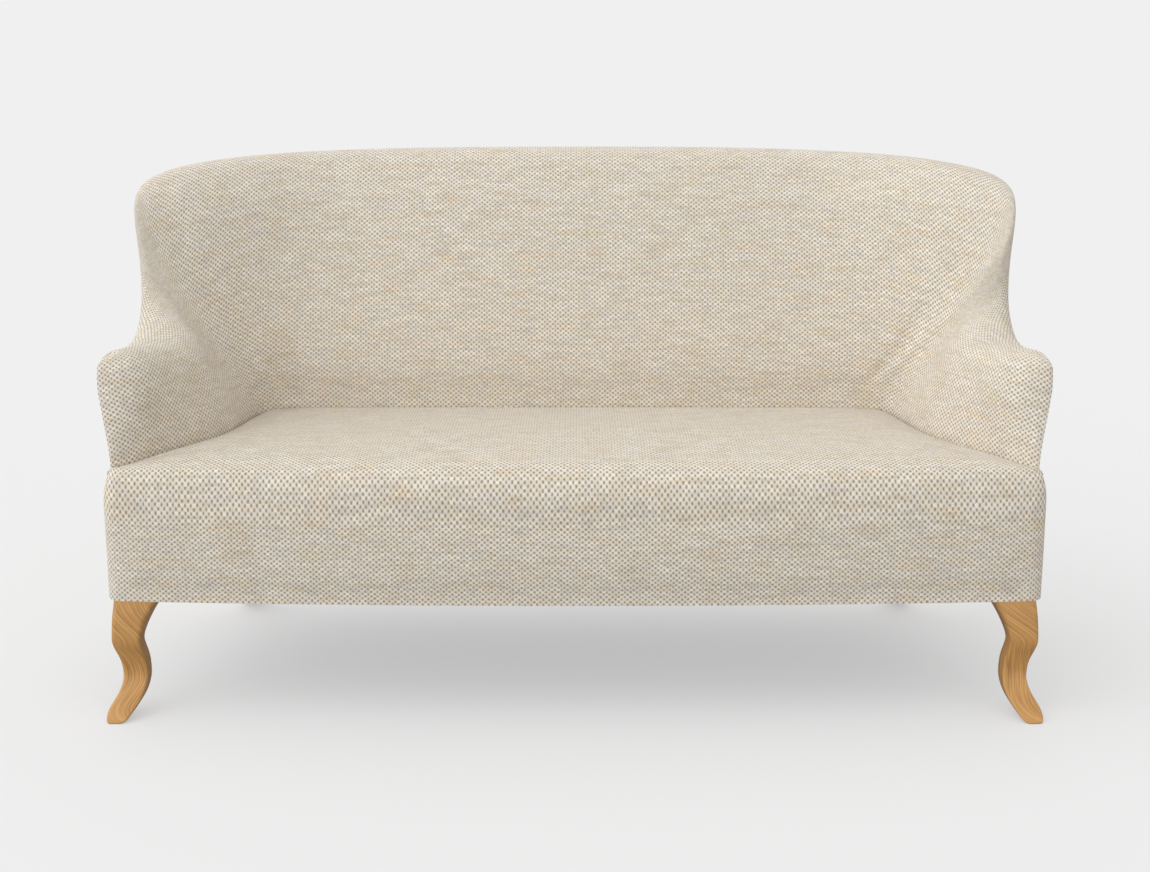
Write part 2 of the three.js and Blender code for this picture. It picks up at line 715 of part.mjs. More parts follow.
// Rails under the crest of the shell: along the back top, the wing edges and the arm tops
const crest_row_shares = [6.0, 6.7, 7.6];
const crest_drop = 34;
const crest_depth_share = 0.55;
const crest_level_share = 0.05;
const crest_set_in = skin + edge_foam_thickness + 2 * clearance;
function crest_section(a) {
  const level = shell_point(a, last_row_share)[2] - crest_drop;
  const outer = outer_flat(a, level, crest_set_in);
  const b = bisect((row) => under_flat(a, row)[2] < level, first_row_share, crest_row_shares[0]);
  return [...crest_row_shares.map((row) => plus(under_flat(a, row), up, -board_gap)), outer,
    blend(outer, under_flat(a, b), crest_depth_share)];
}
function crest_low(a) {
  const [low, high, share] = bracket(station_list, Math.abs(a));
  const level = (station) => shell_point(station, last_row_share)[2] - crest_drop;
  return level(low) * (1 - share) + level(high) * share;
}
const crest_rail = (from, to, side) => {
  const stations = stations_between(Math.abs(from), to);
  const placed_stations = from < 0 ? mirrored(stations_between(0, to).slice(1))
    : stations.map((a) => side * a);
  return loft(placed_stations.map(crest_section));
};
const wing_from_share = side_seam_share;
const arm_from_share = 8.9;
const arm_rail_end_share = 11.7;
function crest_rails() {
  const gap = (a) => station_step(outer_point, a, crest_level_share, clearance);
  add('back_top_rail', crest_rail(-wing_from_share, wing_from_share, 1), 'timber');
  for (const [name, side] of sides) {
    add(`wing_rail_${name}`, crest_rail(wing_from_share + gap(wing_from_share),
      arm_from_share, side), 'timber');
    add(`arm_top_rail_${name}`, crest_rail(arm_from_share + gap(arm_from_share),
      arm_rail_end_share, side), 'timber');
  }
}

// Upright boards that fill the space from the foam to the outer face, from the side rails up
// to the crest rails
const post_rows = shell_row_list.filter((b) => b < foam_thin_to_share);
function post(from, to) {
  const ends = [from, to];
  const tops = ends.map((a) => crest_low(a) - post_top_gap);
  const rows = post_rows.filter((b) => ends.every((a, k) => under_flat(a, b)[2] < tops[k] - board));
  const row_at = (a, level) =>
    bisect((b) => under_flat(a, b)[2] < level, first_row_share, foam_thin_to_share);
  const low = rail_top + clearance;
  const rear_depth = outer_skin + 2 * board_gap;
  const section = (fronts) => [fronts[0], fronts[1],
    outer_flat(to, fronts[1][2], rear_depth), outer_flat(from, fronts[0][2], rear_depth)];
  const front = (a, b) => cavity(a, b, 2 * board_gap);
  const first = ends.map((a) => [...front(a, first_row_share).slice(0, 2), low]);
  const last = ends.map((a, k) => {
    const p = front(a, row_at(a, tops[k]));
    return [p[0], p[1], tops[k]];
  });
  return loft([section(first), ...rows.map((b) => section(ends.map((a) => front(a, b)))),
    section(last)]);
}
const back_post_share = 2.9;
const wing_post_share = 8.2;
const arm_post_share = 11.25;
const post_level_share = 0.4;
const post_end = (a) => a + station_step(outer_point, a, post_level_share, post_thickness);
function posts() {
  for (const [name, side] of sides) {
    for (const [kind, a] of [
      ['back_post', back_post_share], ['wing_post', wing_post_share], ['arm_post', arm_post_share],
    ]) {
      add(`${kind}_${name}`, post(side * a, side * post_end(a)), 'timber');
    }
  }
}

// Tack rails low behind the foam, where the covers are pulled through and fixed
const tack_row_shares = [shell_row_list[0], shell_row_list[1]];
const tack_level_share = 0.6;
function tack_rails() {
  const grid = (stations, distance) => stations.map((a) =>
    tack_row_shares.map((b) => cavity(a, b, distance)));
  const rail = (stations) => slab(grid(stations, 0), grid(stations, board));
  const gap = (a) => 2 * station_step(outer_point, a, tack_level_share, clearance);
  const back_end = back_post_share - gap(back_post_share);
  add('back_tack_rail', rail(mirrored(stations_between(0, back_end).slice(1))), 'timber');
  const wing_end = post_end(wing_post_share);
  const arm_list = stations_between(wing_end + gap(wing_end), arm_post_share - gap(arm_post_share));
  for (const [name, side] of sides) {
    add(`arm_tack_rail_${name}`, rail(arm_list.map((a) => side * a)), 'timber');
  }
}

// Rubber webbing straps behind the back foam, from the tack rail to the top rail
const strap_row_share = 5.4;
const strap_width_row_share = 3;
function back_straps() {
  const pitch = (2 * back_post_share) / (strap_count + 1);
  const from = tack_row_shares[1] + row_step(shell_point, 0, tack_row_shares[1], 2 * clearance);
  const rows = [from, ...shell_row_list.filter((b) => b > from && b <= strap_row_share)];
  for (let k = 0; k < strap_count; k += 1) {
    const a = (k - (strap_count - 1) / 2) * pitch;
    const half = station_step(shell_point, a, strap_width_row_share, strap_width / 2);
    const inner = mirrored(station_list.slice(1)).filter((s) => s > a - half && s < a + half);
    const stations = [a - half, ...inner, a + half];
    const grid = (distance) => stations.map((s) => rows.map((b) => cavity(s, b, distance)));
    add(`back_strap_${k + 1}`,
      slab(grid(board_gap), grid(board_gap + strap_thickness)), 'strap');
  }
}

// Base frame: bowed front rail, rear rail, side rails, rear bearer of the springs, middle rail
const front_rail_share = 0.86;
const front_rail_depth = skin + padding_thickness + clearance;
const rear_corner_share = 4.6;
const side_end_share = 12.1;
const inner_face = outer_skin + board + clearance;
const foot_level_share = 1;
function base_frame() {
  const top_share = (rail_top - base_level) / (front_wall_top - base_level);
  const front_list = mirrored([...half_seat_list.filter((u) => u < front_rail_share),
    front_rail_share]);
  add('front_rail', sheet(seat_point, front_list, [0, top_share],
    () => front_rail_depth, () => front_rail_depth + board), 'timber');
  const levels = [rail_top, (rail_top + base_level) / 2, base_level];
  const wall = (stations) => slab(...[outer_skin, outer_skin + board].map((depth) =>
    stations.map((a) => levels.map((level) => outer_flat(a, level, depth)))));
  add('rear_rail', wall(mirrored(stations_between(0, rear_corner_share).slice(1))), 'timber');
  const gap = station_step(outer_point, rear_corner_share, foot_level_share, clearance);
  for (const [name, side] of sides) {
    const stations = stations_between(rear_corner_share + gap, side_end_share);
    add(`side_rail_${name}`, wall(stations.map((a) => side * a)), 'timber');
  }
  const station_at = (y, level) => bisect((a) => outer_flat(a, level, inner_face)[1] > y,
    side_seam_share, front_station_share);
  const bearer_low = rail_top - seat_back_rail_height;
  const bearer_corners = [
    [seat_back_rail_y, rail_top], [seat_back_rail_y + board, rail_top],
    [seat_back_rail_y + board, bearer_low], [seat_back_rail_y, bearer_low]];
  const bearer_end = (side) => bearer_corners.map(([y, level]) => {
    const reach = Math.min(...bearer_corners.map(([py, pz]) =>
      outer_flat(station_at(py, pz), pz, inner_face)[0]));
    return [side * reach, y, level];
  });
  add('spring_bearer', loft([bearer_end(-1), bearer_end(1)]), 'timber');
  const half = centre_rail_width / 2;
  const front_y = front_plan(front_list[front_list.length / 2 | 0])[1] + front_rail_depth
    + board + 2 * clearance;
  const rear_y = (level) => outer_flat(0, level, inner_face)[1];
  const centre_top = base_level + centre_rail_height;
  add('centre_rail', loft([-half, half].map((x) => [
    [x, front_y, base_level],
    [x, front_y, centre_top],
    [x, rear_y(centre_top), centre_top],
    [x, rear_y(base_level), base_level],
  ])), 'timber');
}

// Corner blocks behind the rails over each leg, with the bolt hole through them
function corner_block(plan, x, y) {
  const level = base_level + block_height;
  const block = loft([base_level, level].map((z) => plan.map(([px, py]) => [px, py, z])));
  const tool = new THREE.CylinderGeometry(
    bolt_radius + clearance, bolt_radius + clearance, block_height + 2 * overrun, bore_facet_count);
  tool.rotateX(Math.PI / 2);
  tool.translate(x, y, base_level + block_height / 2);
  return cut(block, merged(tool));
}
function merged(geometry) {
  const points = [];
  const found = new Map();
  const source = geometry.attributes.position;
  const order = Array.from({ length: source.count }, (_, k) => {
    const p = [source.getX(k), source.getY(k), source.getZ(k)];
    const key = p.map((value) => value.toFixed(4)).join();
    if (!found.has(key)) {
      found.set(key, points.length);
      points.push(p);
    }
    return found.get(key);
  });
  const flat = geometry.index ? Array.from(geometry.index.array, (k) => order[k]) : order;
  const faces = [];
  for (let k = 0; k < flat.length; k += 3) {
    const [i, j, l] = flat.slice(k, k + 3);
    if (i !== j && j !== l && l !== i) faces.push([i, j, l]);
  }
  return body_of(points, faces);
}
const block_front_from_share = 0.7;
const block_side_to_share = 11.2;
const block_rear_from_share = 2.5;
const block_rear_to_share = 6.3;
const block_nose_y = 78;
const block_level_share = 0.2;
function corner_blocks() {
  const flat = (p) => [p[0], p[1]];
  const seat_inner = (u) => flat(sunk(seat_point, u, block_level_share,
    front_rail_depth + board + clearance));
  const frame_inner = (a) => flat(outer_flat(a, base_level, inner_face + 2 * board_gap));
  const side_front = frame_inner(side_end_share);
  const front_points = [
    seat_inner(block_front_from_share), seat_inner(front_rail_share),
    [side_front[0], block_nose_y],
    ...stations_between(block_side_to_share, side_end_share).reverse().map(frame_inner)];
  const rear_points = stations_between(block_rear_from_share, block_rear_to_share)
    .map(frame_inner);
  for (const [name, side] of sides) {
    const mirror = (plan) => plan.map(([x, y]) => [side * x, y]);
    add(`corner_block_front_${name}`,
      corner_block(mirror(front_points), side * bolt_front_x, bolt_front_y), 'timber');
    add(`corner_block_rear_${name}`,
      corner_block(mirror(rear_points), side * bolt_rear_x, bolt_rear_y), 'timber');
  }
}

// Flat-faced S-shaped legs, flared out and forward at the front, out and back at the rear
const leg_curve = natural_spline(leg_shares);
const leg_corner_step_count = 2;
function leg_ring(shares, x, y, side, facing, kick) {
  const [rise, out, wide, forward, deep] = shares;
  const half_x = (leg_width * wide) / 2;
  const half_y = (leg_depth * deep) / 2;
  const centre_x = side * (x + leg_width * out);
  const face = y + facing * (leg_depth / 2 + leg_depth * forward * kick);
  const centre_y = face - facing * half_y;
  const radius = Math.min(half_x, half_y) * leg_corner_share * 2;
  const ring = [];
  for (const [sx, sy, start] of [[1, 1, 0], [-1, 1, 1], [-1, -1, 2], [1, -1, 3]]) {
    for (let k = 0; k <= leg_corner_step_count; k += 1) {
      const angle = ((start + k / leg_corner_step_count) * Math.PI) / 2;
      ring.push([
        centre_x + sx * (half_x - radius) + radius * Math.cos(angle),
        centre_y + sy * (half_y - radius) + radius * Math.sin(angle),
        leg_height * rise,
      ]);
    }
  }
  return ring;
}
function leg(x, y, side, facing, kick, bolt_x, bolt_y) {
  const rings = leg_level_shares.map((level) =>
    leg_ring(leg_curve(level), x, y, side, facing, kick));
  const radius = bolt_radius + clearance;
  const tool = new THREE.CylinderGeometry(radius, radius, bolt_depth + overrun, bore_facet_count);
  tool.rotateX(Math.PI / 2);
  tool.translate(side * bolt_x, bolt_y, leg_height - (bolt_depth - overrun) / 2);
  return cut(loft(rings), merged(tool));
}
function legs() {
  for (const [name, side] of sides) {
    add(`front_leg_${name}`, leg(front_leg_x, front_leg_y, side, -1, 1,
      bolt_front_x, bolt_front_y), 'oak');
    add(`rear_leg_${name}`, leg(rear_leg_x, rear_leg_y, side, 1, rear_kick_share,
      bolt_rear_x, bolt_rear_y), 'oak');
    add(`leg_bolt_front_${name}`, leg_bolt(side * bolt_front_x, bolt_front_y), 'steel');
    add(`leg_bolt_rear_${name}`, leg_bolt(side * bolt_rear_x, bolt_rear_y), 'steel');
  }
}
function leg_bolt(x, y) {
  const seat = base_level + block_height + clearance;
  const low = leg_height - bolt_depth + clearance;
  const profile = [
    [0, low], [bolt_radius, low], [bolt_radius, seat], [bolt_head_radius, seat],
    [bolt_head_radius, seat + bolt_head_height], [0, seat + bolt_head_height],
  ].map(([radius, level]) => new THREE.Vector2(radius, level));
  const geometry = new THREE.LatheGeometry(profile, bore_facet_count);
  geometry.rotateX(Math.PI / 2);
  geometry.translate(x, y, 0);
  return merged(geometry);
}

// Zigzag springs from the front rail to the spring bearer, mirrored about the middle
const spring_side_count = 5;
const spring_step_count = 4;
class SpringPath extends THREE.Curve {
  constructor(x, front, rear, level) {
    super();
    Object.assign(this, { x, front, rear, level });
  }

  getPoint(t, target = new THREE.Vector3()) {
    const swing = Math.sign(this.x) * spring_swing;
    const wave = Math.sin(t * spring_loops * Math.PI * 2) * swing;
    const y = this.front + (this.rear - this.front) * t;
    return target.set(this.x + wave, y, this.level);
  }
}
function springs() {
  const level = spring_level;
  const section = new THREE.Shape(Array.from({ length: spring_side_count }, (_, k) => {
    const angle = (k * 2 * Math.PI) / spring_side_count;
    return new THREE.Vector2(Math.cos(angle), Math.sin(angle)).multiplyScalar(spring_wire / 2);
  }));
  const span = 2 * half_width * spring_span_share;
  for (let k = 0; k < spring_count; k += 1) {
    const x = span * (k / (spring_count - 1) - 0.5);
    const front = front_plan(x / half_width)[1] + front_rail_depth + board / 2;
    const path = new SpringPath(x, front, seat_back_rail_y + board / 2, level);
    const geometry = new THREE.ExtrudeGeometry(section, {
      steps: spring_loops * spring_step_count, extrudePath: path, bevelEnabled: false });
    add(`seat_spring_${k + 1}`, merged(geometry), 'steel');
  }
}

// Dust cover under the frame, notched round the legs
const dust_front_share = 11.6;
const dust_rear_share = 6;
const dust_inset = leg_depth / 4;
function dust_cover() {
  const notch_front = front_leg_y + leg_depth / 2 + clearance;
  const notch_rear = rear_leg_y - leg_depth / 2 - clearance;
  const front_x = front_leg_x - leg_width / 2 - clearance;
  const rear_x = rear_leg_x - leg_width / 2 - clearance;
  const front_y = front_bow + skin;
  const rear_y = base_line[0][1] - skin;
  const side_front = outer_flat(dust_front_share, base_level, skin)[0] - dust_inset;
  const side_rear = outer_flat(dust_rear_share, base_level, skin)[0] - dust_inset;
  const right = [
    [front_x, front_y], [front_x, notch_front], [side_front, notch_front],
    [side_rear, notch_rear], [rear_x, notch_rear], [rear_x, rear_y - dust_inset]];
  const left = right.map(([x, y]) => [-x, y]).reverse();
  const shape = new THREE.Shape([...right, ...left].map(([x, y]) => new THREE.Vector2(x, y)));
  const geometry = new THREE.ExtrudeGeometry(shape, { depth: dust_cloth, bevelEnabled: false });
  geometry.translate(0, 0, leg_height - dust_cloth);
  add('dust_cover', merged(geometry), 'dust');
}

inner_back();
arms();
seat_soft_parts();
outer_covers();
crest_rails();
posts();
tack_rails();
back_straps();
base_frame();
corner_blocks();
legs();
springs();
dust_cover();

// The origin goes to the middle of the box on the floor
const box = new THREE.Box3().setFromObject(settee);
settee.position.y = -(box.min.y + box.max.y) / 2;

export default settee;
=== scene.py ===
"""High back settee: cream basket weave upholstery on a bowed T-shaped seat and curved oak legs.

Everything is in the row frame: metres, +Z up, the sitter looks along -Y. The soft forms and the
legs are surfaces of two parameters, worked out as whole arrays in millimetres from the outlines
of the CAD part, only on a much finer grid, and they stand for its plain solids. The fronts of the
arms are stuffed fuller here than in that part, and the low corners of the back are sharper.
"""

import json
import logging
import math
from dataclasses import dataclass
from enum import Enum
from typing import Any, Callable

import bmesh
import bpy
import numpy as np
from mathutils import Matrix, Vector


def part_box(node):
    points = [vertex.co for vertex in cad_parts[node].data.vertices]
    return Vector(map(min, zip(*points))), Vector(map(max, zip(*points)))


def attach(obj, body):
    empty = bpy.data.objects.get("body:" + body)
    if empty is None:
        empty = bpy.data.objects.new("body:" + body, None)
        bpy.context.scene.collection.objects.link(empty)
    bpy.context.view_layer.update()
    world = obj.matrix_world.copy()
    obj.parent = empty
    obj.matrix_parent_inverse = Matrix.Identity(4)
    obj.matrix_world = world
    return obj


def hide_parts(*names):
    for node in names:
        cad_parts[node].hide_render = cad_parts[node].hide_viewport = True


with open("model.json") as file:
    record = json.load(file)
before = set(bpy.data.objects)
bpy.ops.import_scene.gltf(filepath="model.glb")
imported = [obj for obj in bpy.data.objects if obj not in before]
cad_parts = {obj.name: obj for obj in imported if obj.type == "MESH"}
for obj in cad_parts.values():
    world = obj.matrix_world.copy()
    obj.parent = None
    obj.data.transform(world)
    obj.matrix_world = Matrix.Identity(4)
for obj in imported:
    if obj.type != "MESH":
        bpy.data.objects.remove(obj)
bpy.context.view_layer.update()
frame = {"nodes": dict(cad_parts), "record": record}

log = logging.getLogger("settee")
Array = np.ndarray
Surface = Callable[[Array, Array], Array]
MM = 0.001
BODY = "root"
WEAVE_MAP = "weave"

# Control lines of the upholstered shell, from the middle of the back (first triple) round the
# wing to the front of the arm (last one): across, deep, and height above the seat seam
TUCK = [
    (0, 513, 0), (260, 513, 0), (430, 513, 0), (530, 512, 0), (580, 510, 0),
    (608, 507, 0), (628, 502, -1), (641, 492, -2), (651, 470, -4), (662, 425, -7),
    (684, 300, -10), (735, 190, -13), (795, 100, -18), (830, 62, -26), (837, 76, -26),
]
LUMBAR = [
    (0, 507, 115), (270, 507, 115), (455, 508, 115), (562, 504, 115), (622, 494, 113),
    (655, 478, 111), (677, 456, 109), (689, 432, 107), (698, 405, 105), (706, 365, 101),
    (714, 300, 95), (747, 194, 92), (782, 108, 90), (847, 84, 87), (855, 99, 87),
]
SHOULDER = [
    (0, 556, 315), (285, 556, 313), (485, 555, 311), (620, 526, 305), (702, 472, 285),
    (750, 428, 260), (768, 400, 237), (765, 392, 205), (745, 380, 178), (724, 360, 149),
    (720, 299, 132), (752, 198, 131), (788, 112, 129), (852, 92, 120), (860, 106, 116),
]
BROW = [
    (0, 612, 460), (295, 612, 457), (510, 602, 453), (665, 533, 440), (765, 466, 405),
    (818, 424, 370), (828, 405, 325), (814, 394, 269), (783, 384, 218), (745, 354, 184),
    (739, 294, 165), (770, 204, 163), (800, 124, 161), (854, 99, 144), (862, 112, 132),
]
CREST = [
    (0, 650, 529), (300, 650, 527), (520, 640, 521), (685, 580, 509), (790, 505, 480),
    (850, 450, 445), (856, 406, 385), (846, 392, 315), (828, 384, 244), (792, 350, 205),
    (789, 288, 176), (810, 203, 175), (826, 142, 174), (856, 110, 160), (863, 118, 144),
]
EDGE = [
    (0, 722, 534), (300, 720, 532), (526, 704, 526), (696, 645, 515), (808, 568, 498),
    (868, 508, 469), (872, 432, 417), (863, 414, 332), (856, 394, 243), (850, 345, 196),
    (849, 276, 178), (850, 198, 173), (854, 148, 176), (860, 118, 163), (865, 124, 146),
]
RIM = [
    (0, 750, 507), (300, 748, 505), (528, 733, 500), (702, 680, 491), (818, 612, 481),
    (870, 552, 455), (874, 478, 415), (865, 456, 330), (863, 430, 228), (863, 350, 165),
    (861, 276, 148), (861, 196, 147), (863, 147, 151), (864, 123, 148), (867, 129, 138),
]
# Outer side and back, across and deep: the line at half height and the line of the bottom edge
BELT = [
    (0, 703), (300, 700), (520, 693), (672, 672), (770, 640),
    (808, 590), (816, 526), (817, 478), (814, 430), (816, 352),
    (823, 272), (831, 188), (837, 121), (836, 76), (838, 84),
]
FOOT = [
    (0, 658), (300, 658), (500, 658), (640, 657), (715, 650),
    (752, 622), (764, 570), (772, 502), (782, 432), (793, 356),
    (806, 272), (820, 190), (832, 122), (838, 82), (839, 88),
]
# Stations of a leg from its top to its sole: height as a share of the leg height, sideways offset
# and width as shares of the leg width, forward offset and depth as shares of the leg depth
LEG = [
    (1, 0, 1, 0, 1), (0.852, 0.14, 0.79, 0.09, 0.92), (0.699, 0.22, 0.655, 0.13, 0.61),
    (0.598, 0.215, 0.62, 0.09, 0.56), (0.474, 0.135, 0.58, -0.03, 0.52),
    (0.373, 0.11, 0.56, -0.09, 0.5), (0.282, 0.105, 0.555, -0.03, 0.51),
    (0.182, 0.165, 0.58, 0.22, 0.55), (0.096, 0.28, 0.58, 0.53, 0.56),
    (0.024, 0.35, 0.45, 0.79, 0.47), (0, 0.375, 0.27, 0.81, 0.31),
]
# Half width of the seat's rear edge as a share, and the shell station that it meets there
REAR_RUN = [
    (0, 0), (0.25, 0.75), (0.5, 1.5), (0.7, 2.5), (0.83, 3.8),
    (0.9, 5.6), (0.93, 6.3), (0.96, 7), (0.98, 7.2), (1, 7.45),
]


class Side(Enum):
    """Side of the settee in a view from the front."""

    LEFT = -1
    RIGHT = 1


class Grain(Enum):
    """Way the long fibres run in a board, as the stretch of a pattern along X, Y and Z."""

    ACROSS = (1.0, 14.0, 14.0)
    DEEP = (14.0, 1.0, 14.0)
    UPRIGHT = (14.0, 14.0, 1.0)


def linear(colour: str) -> tuple[float, float, float, float]:
    """Turns an sRGB hex colour into linear light.

    Args:
        colour: six hex digits after a hash sign.

    Returns:
        Red, green, blue in linear light, and full opacity.
    """
    shares = [int(colour[k:k + 2], 16) / 255 for k in (1, 3, 5)]
    light = [s / 12.92 if s <= 0.04045 else ((s + 0.055) / 1.055) ** 2.4 for s in shares]
    return (light[0], light[1], light[2], 1.0)


def put(tree: bpy.types.NodeTree, kind: str, inputs: dict[Any, Any] | None = None,
        **settings: Any) -> bpy.types.Node:
    """Adds a node with its settings, and links or sets its inputs.

    Args:
        tree: the node tree that gets it.
        kind: the node's type without the leading ShaderNode.
        inputs: input name or place, and the socket or the value that it takes.
        settings: properties of the node itself.

    Returns:
        The new node.
    """
    added = tree.nodes.new("ShaderNode" + kind)
    for name, value in settings.items():
        setattr(added, name, value)
    wire(added, inputs or {})
    return added


def wire(node: bpy.types.Node, inputs: dict[Any, Any]) -> None:
    """Links each input of a node to the socket given for it, or sets it to the value given.

    Args:
        node: the node.
        inputs: input name or place, and the socket or the value that it takes.
    """
    for key, value in inputs.items():
        socket = node.inputs[key]
        if isinstance(value, bpy.types.NodeSocket):
            node.id_data.links.new(value, socket)
        else:
            socket.default_value = value


def ramp(stops: bpy.types.ColorRamp, colours: list[tuple[float, str]]) -> None:
    """Sets a colour ramp.

    Args:
        stops: the ramp.
        colours: place from 0 to 1 and hex colour of each stop, in order.
    """
    while len(stops.elements) < len(colours):
        stops.elements.new(1.0)
    for element, (place, colour) in zip(stops.elements, colours):
        element.position = place
        element.color = linear(colour)


def new_material(name: str) -> tuple[bpy.types.Material, bpy.types.NodeTree, bpy.types.Node]:
    """Makes a material that holds a Principled shader and an output.

    Args:
        name: the material's name.

    Returns:
        The material, its node tree and its shader.
    """
    material = bpy.data.materials.new(name)
    material.use_nodes = True
    tree = material.node_tree
    tree.nodes.clear()
    shader = put(tree, "BsdfPrincipled")
    put(tree, "OutputMaterial", {"Surface": shader.outputs[0]})
    return material, tree, shader


def natural_spline(rows: Array) -> Callable[[Array], Array]:
    """Natural cubic spline through evenly spaced rows.

    The bend m solves m[k-1] + 4 m[k] + m[k+1] = 6 (p[k-1] - 2 p[k] + p[k+1]) with both ends
    straight, and each piece is the straight blend plus ((g^3 - g) m[k] + (f^3 - f) m[k+1]) / 6.

    Args:
        rows: values at the places 0, 1, 2 and so on, one or more numbers each.

    Returns:
        A function of an array of places.
    """
    count = len(rows)
    flat = rows.reshape(count, -1).astype(float)
    system = np.eye(count)
    known = np.zeros_like(flat)
    for k in range(1, count - 1):
        system[k, k - 1:k + 2] = (1, 4, 1)
    known[1:-1] = 6 * (flat[:-2] - 2 * flat[1:-1] + flat[2:])
    bend = np.linalg.solve(system, known)

    def value(place: Array) -> Array:
        """Value of the spline at each place.

        Args:
            place: places, 0 at the first row.

        Returns:
            One row of values for each place.
        """
        place = np.asarray(place, float)
        k = np.clip(np.floor(place).astype(int), 0, count - 2)
        f = (place - k)[..., None]
        g = 1 - f
        out = flat[k] * g + flat[k + 1] * f
        out = out + ((g**3 - g) * bend[k] + (f**3 - f) * bend[k + 1]) / 6
        return out.reshape(place.shape + rows.shape[1:])

    return value


def smooth_step(value: Array, low: float, high: float) -> Array:
    """Rises from 0 at low to 1 at high along 3 s^2 - 2 s^3."""
    share = np.clip((value - low) / (high - low), 0, 1)
    return share * share * (3 - 2 * share)


def unit(vectors: Array) -> Array:
    """Vectors scaled to length 1."""
    return vectors / np.maximum(np.linalg.norm(vectors, axis=-1, keepdims=True), 1e-12)


def outward(surface: Surface, a: Array, b: Array) -> Array:
    """Unit normal of a surface: the cross product of its two slopes, from a small step each way.

    Args:
        surface: gives a point for each pair of places.
        a: first place of each pair.
        b: second place of each pair.

    Returns:
        The normal at each pair of places.
    """
    step = 0.004
    along = surface(a + step, b) - surface(a - step, b)
    across = surface(a, b + step) - surface(a, b - step)
    return unit(np.cross(along, across))


def run_along(points: Array, axis: int) -> Array:
    """Length run through along one axis of a grid of points: the sum of the steps up to there.

    Args:
        points: grid of points.
        axis: 0 or 1.

    Returns:
        The length at each point, zero in the first row or column.
    """
    steps = np.linalg.norm(np.diff(points, axis=axis), axis=-1)
    lead = [(0, 0), (0, 0)]
    lead[axis] = (1, 0)
    return np.cumsum(np.pad(steps, lead), axis=axis)


def evenly(curve: Callable[[Array], Array], start: float, end: float, spacing: float) -> Array:
    """Places on a curve that are the same length apart.

    Args:
        curve: gives a point for each place.
        start: first place.
        end: last place.
        spacing: length between neighbours in millimetres, met as nearly as an even count lets.

    Returns:
        An odd number of places from start to end, so that every second one also ends there.
    """
    dense = np.linspace(start, end, 1201)
    points = curve(dense)
    run = np.concatenate([[0], np.cumsum(np.linalg.norm(np.diff(points, axis=0), axis=1))])
    count = 2 * max(1, round(run[-1] / spacing / 2)) + 1
    return np.interp(np.linspace(0, run[-1], count), run, dense)


def mirrored(rows: Array) -> Array:
    """Puts the rows of the other side, where X has the other sign, before those of one side.

    Args:
        rows: rows from the middle outwards.

    Returns:
        Rows from the far end of the other side to the far end of this one.
    """
    other = rows[:0:-1].copy()
    other[..., 0] *= -1
    return np.concatenate([other, rows])


@dataclass(frozen=True)
class Build:
    """Sizes in millimetres that the soft pieces share with the CAD part, but for two: there the
    seat sinks 9 mm at its seams, and the covers of back and arms stand 2.6 mm apart."""

    half_width: float = 850.0
    seat_height: float = 475.0
    base_level: float = 209.3
    front_bow: float = 30.0
    seat_front_height: float = 458.0
    seat_crown_height: float = 480.0
    front_wall_top: float = 385.0
    ear_depth: float = 80.0
    front_corner_radius: float = 34.0
    top_roll_depth: float = 45.0
    ear_top_height: float = 450.0
    seam_roll: float = 26.0
    seam_sink: float = 4.5
    cloth: float = 2.5
    skin: float = 3.0
    seam_gap: float = 0.8
    rim_gap: float = 1.8
    corner_gap: float = 0.3
    foam_seam_gap: float = 10.0
    back_foam: float = 40.0
    edge_foam: float = 8.8
    front_padding: float = 20.0
    hessian_low: float = 349.4
    hessian: float = 1.6
    deck: float = 351.3
    leg_height: float = 209.0
    dust_cloth: float = 1.2
    hem_drop: float = 110.0
    tuck_drop: float = 45.0
    tuck_rise: float = 25.0
    rim_return: float = 40.0


BUILD = Build()
# Stations run round the shell from the middle of the back, rows from its hidden tuck to its rim
SIDE_SEAM_STATION = 4.5
CORNER_STATION = 7.45
ARM_STATION = 11.0
FOAM_END_STATION = 12.3
FRONT_STATION = 13.0
LAST_STATION = 14.0
FIRST_ROW = 1.0
SEAT_ROW = 1.7
LAST_ROW = 8.0
# The design's front is at Y = 0, and the row frame has its origin in the middle of the box
DESIGN_SHIFT = float(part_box("seat_cover")[0][1])
REPLACED = {
    "seat_cover", "seat_foam", "front_padding", "seat_hessian", "dust_cover", "outer_back",
    "back_cover", "back_foam", "arm_cover_left", "arm_cover_right", "arm_foam_left",
    "arm_foam_right", "outer_side_left", "outer_side_right", "front_leg_left",
    "front_leg_right", "rear_leg_left", "rear_leg_right",
}


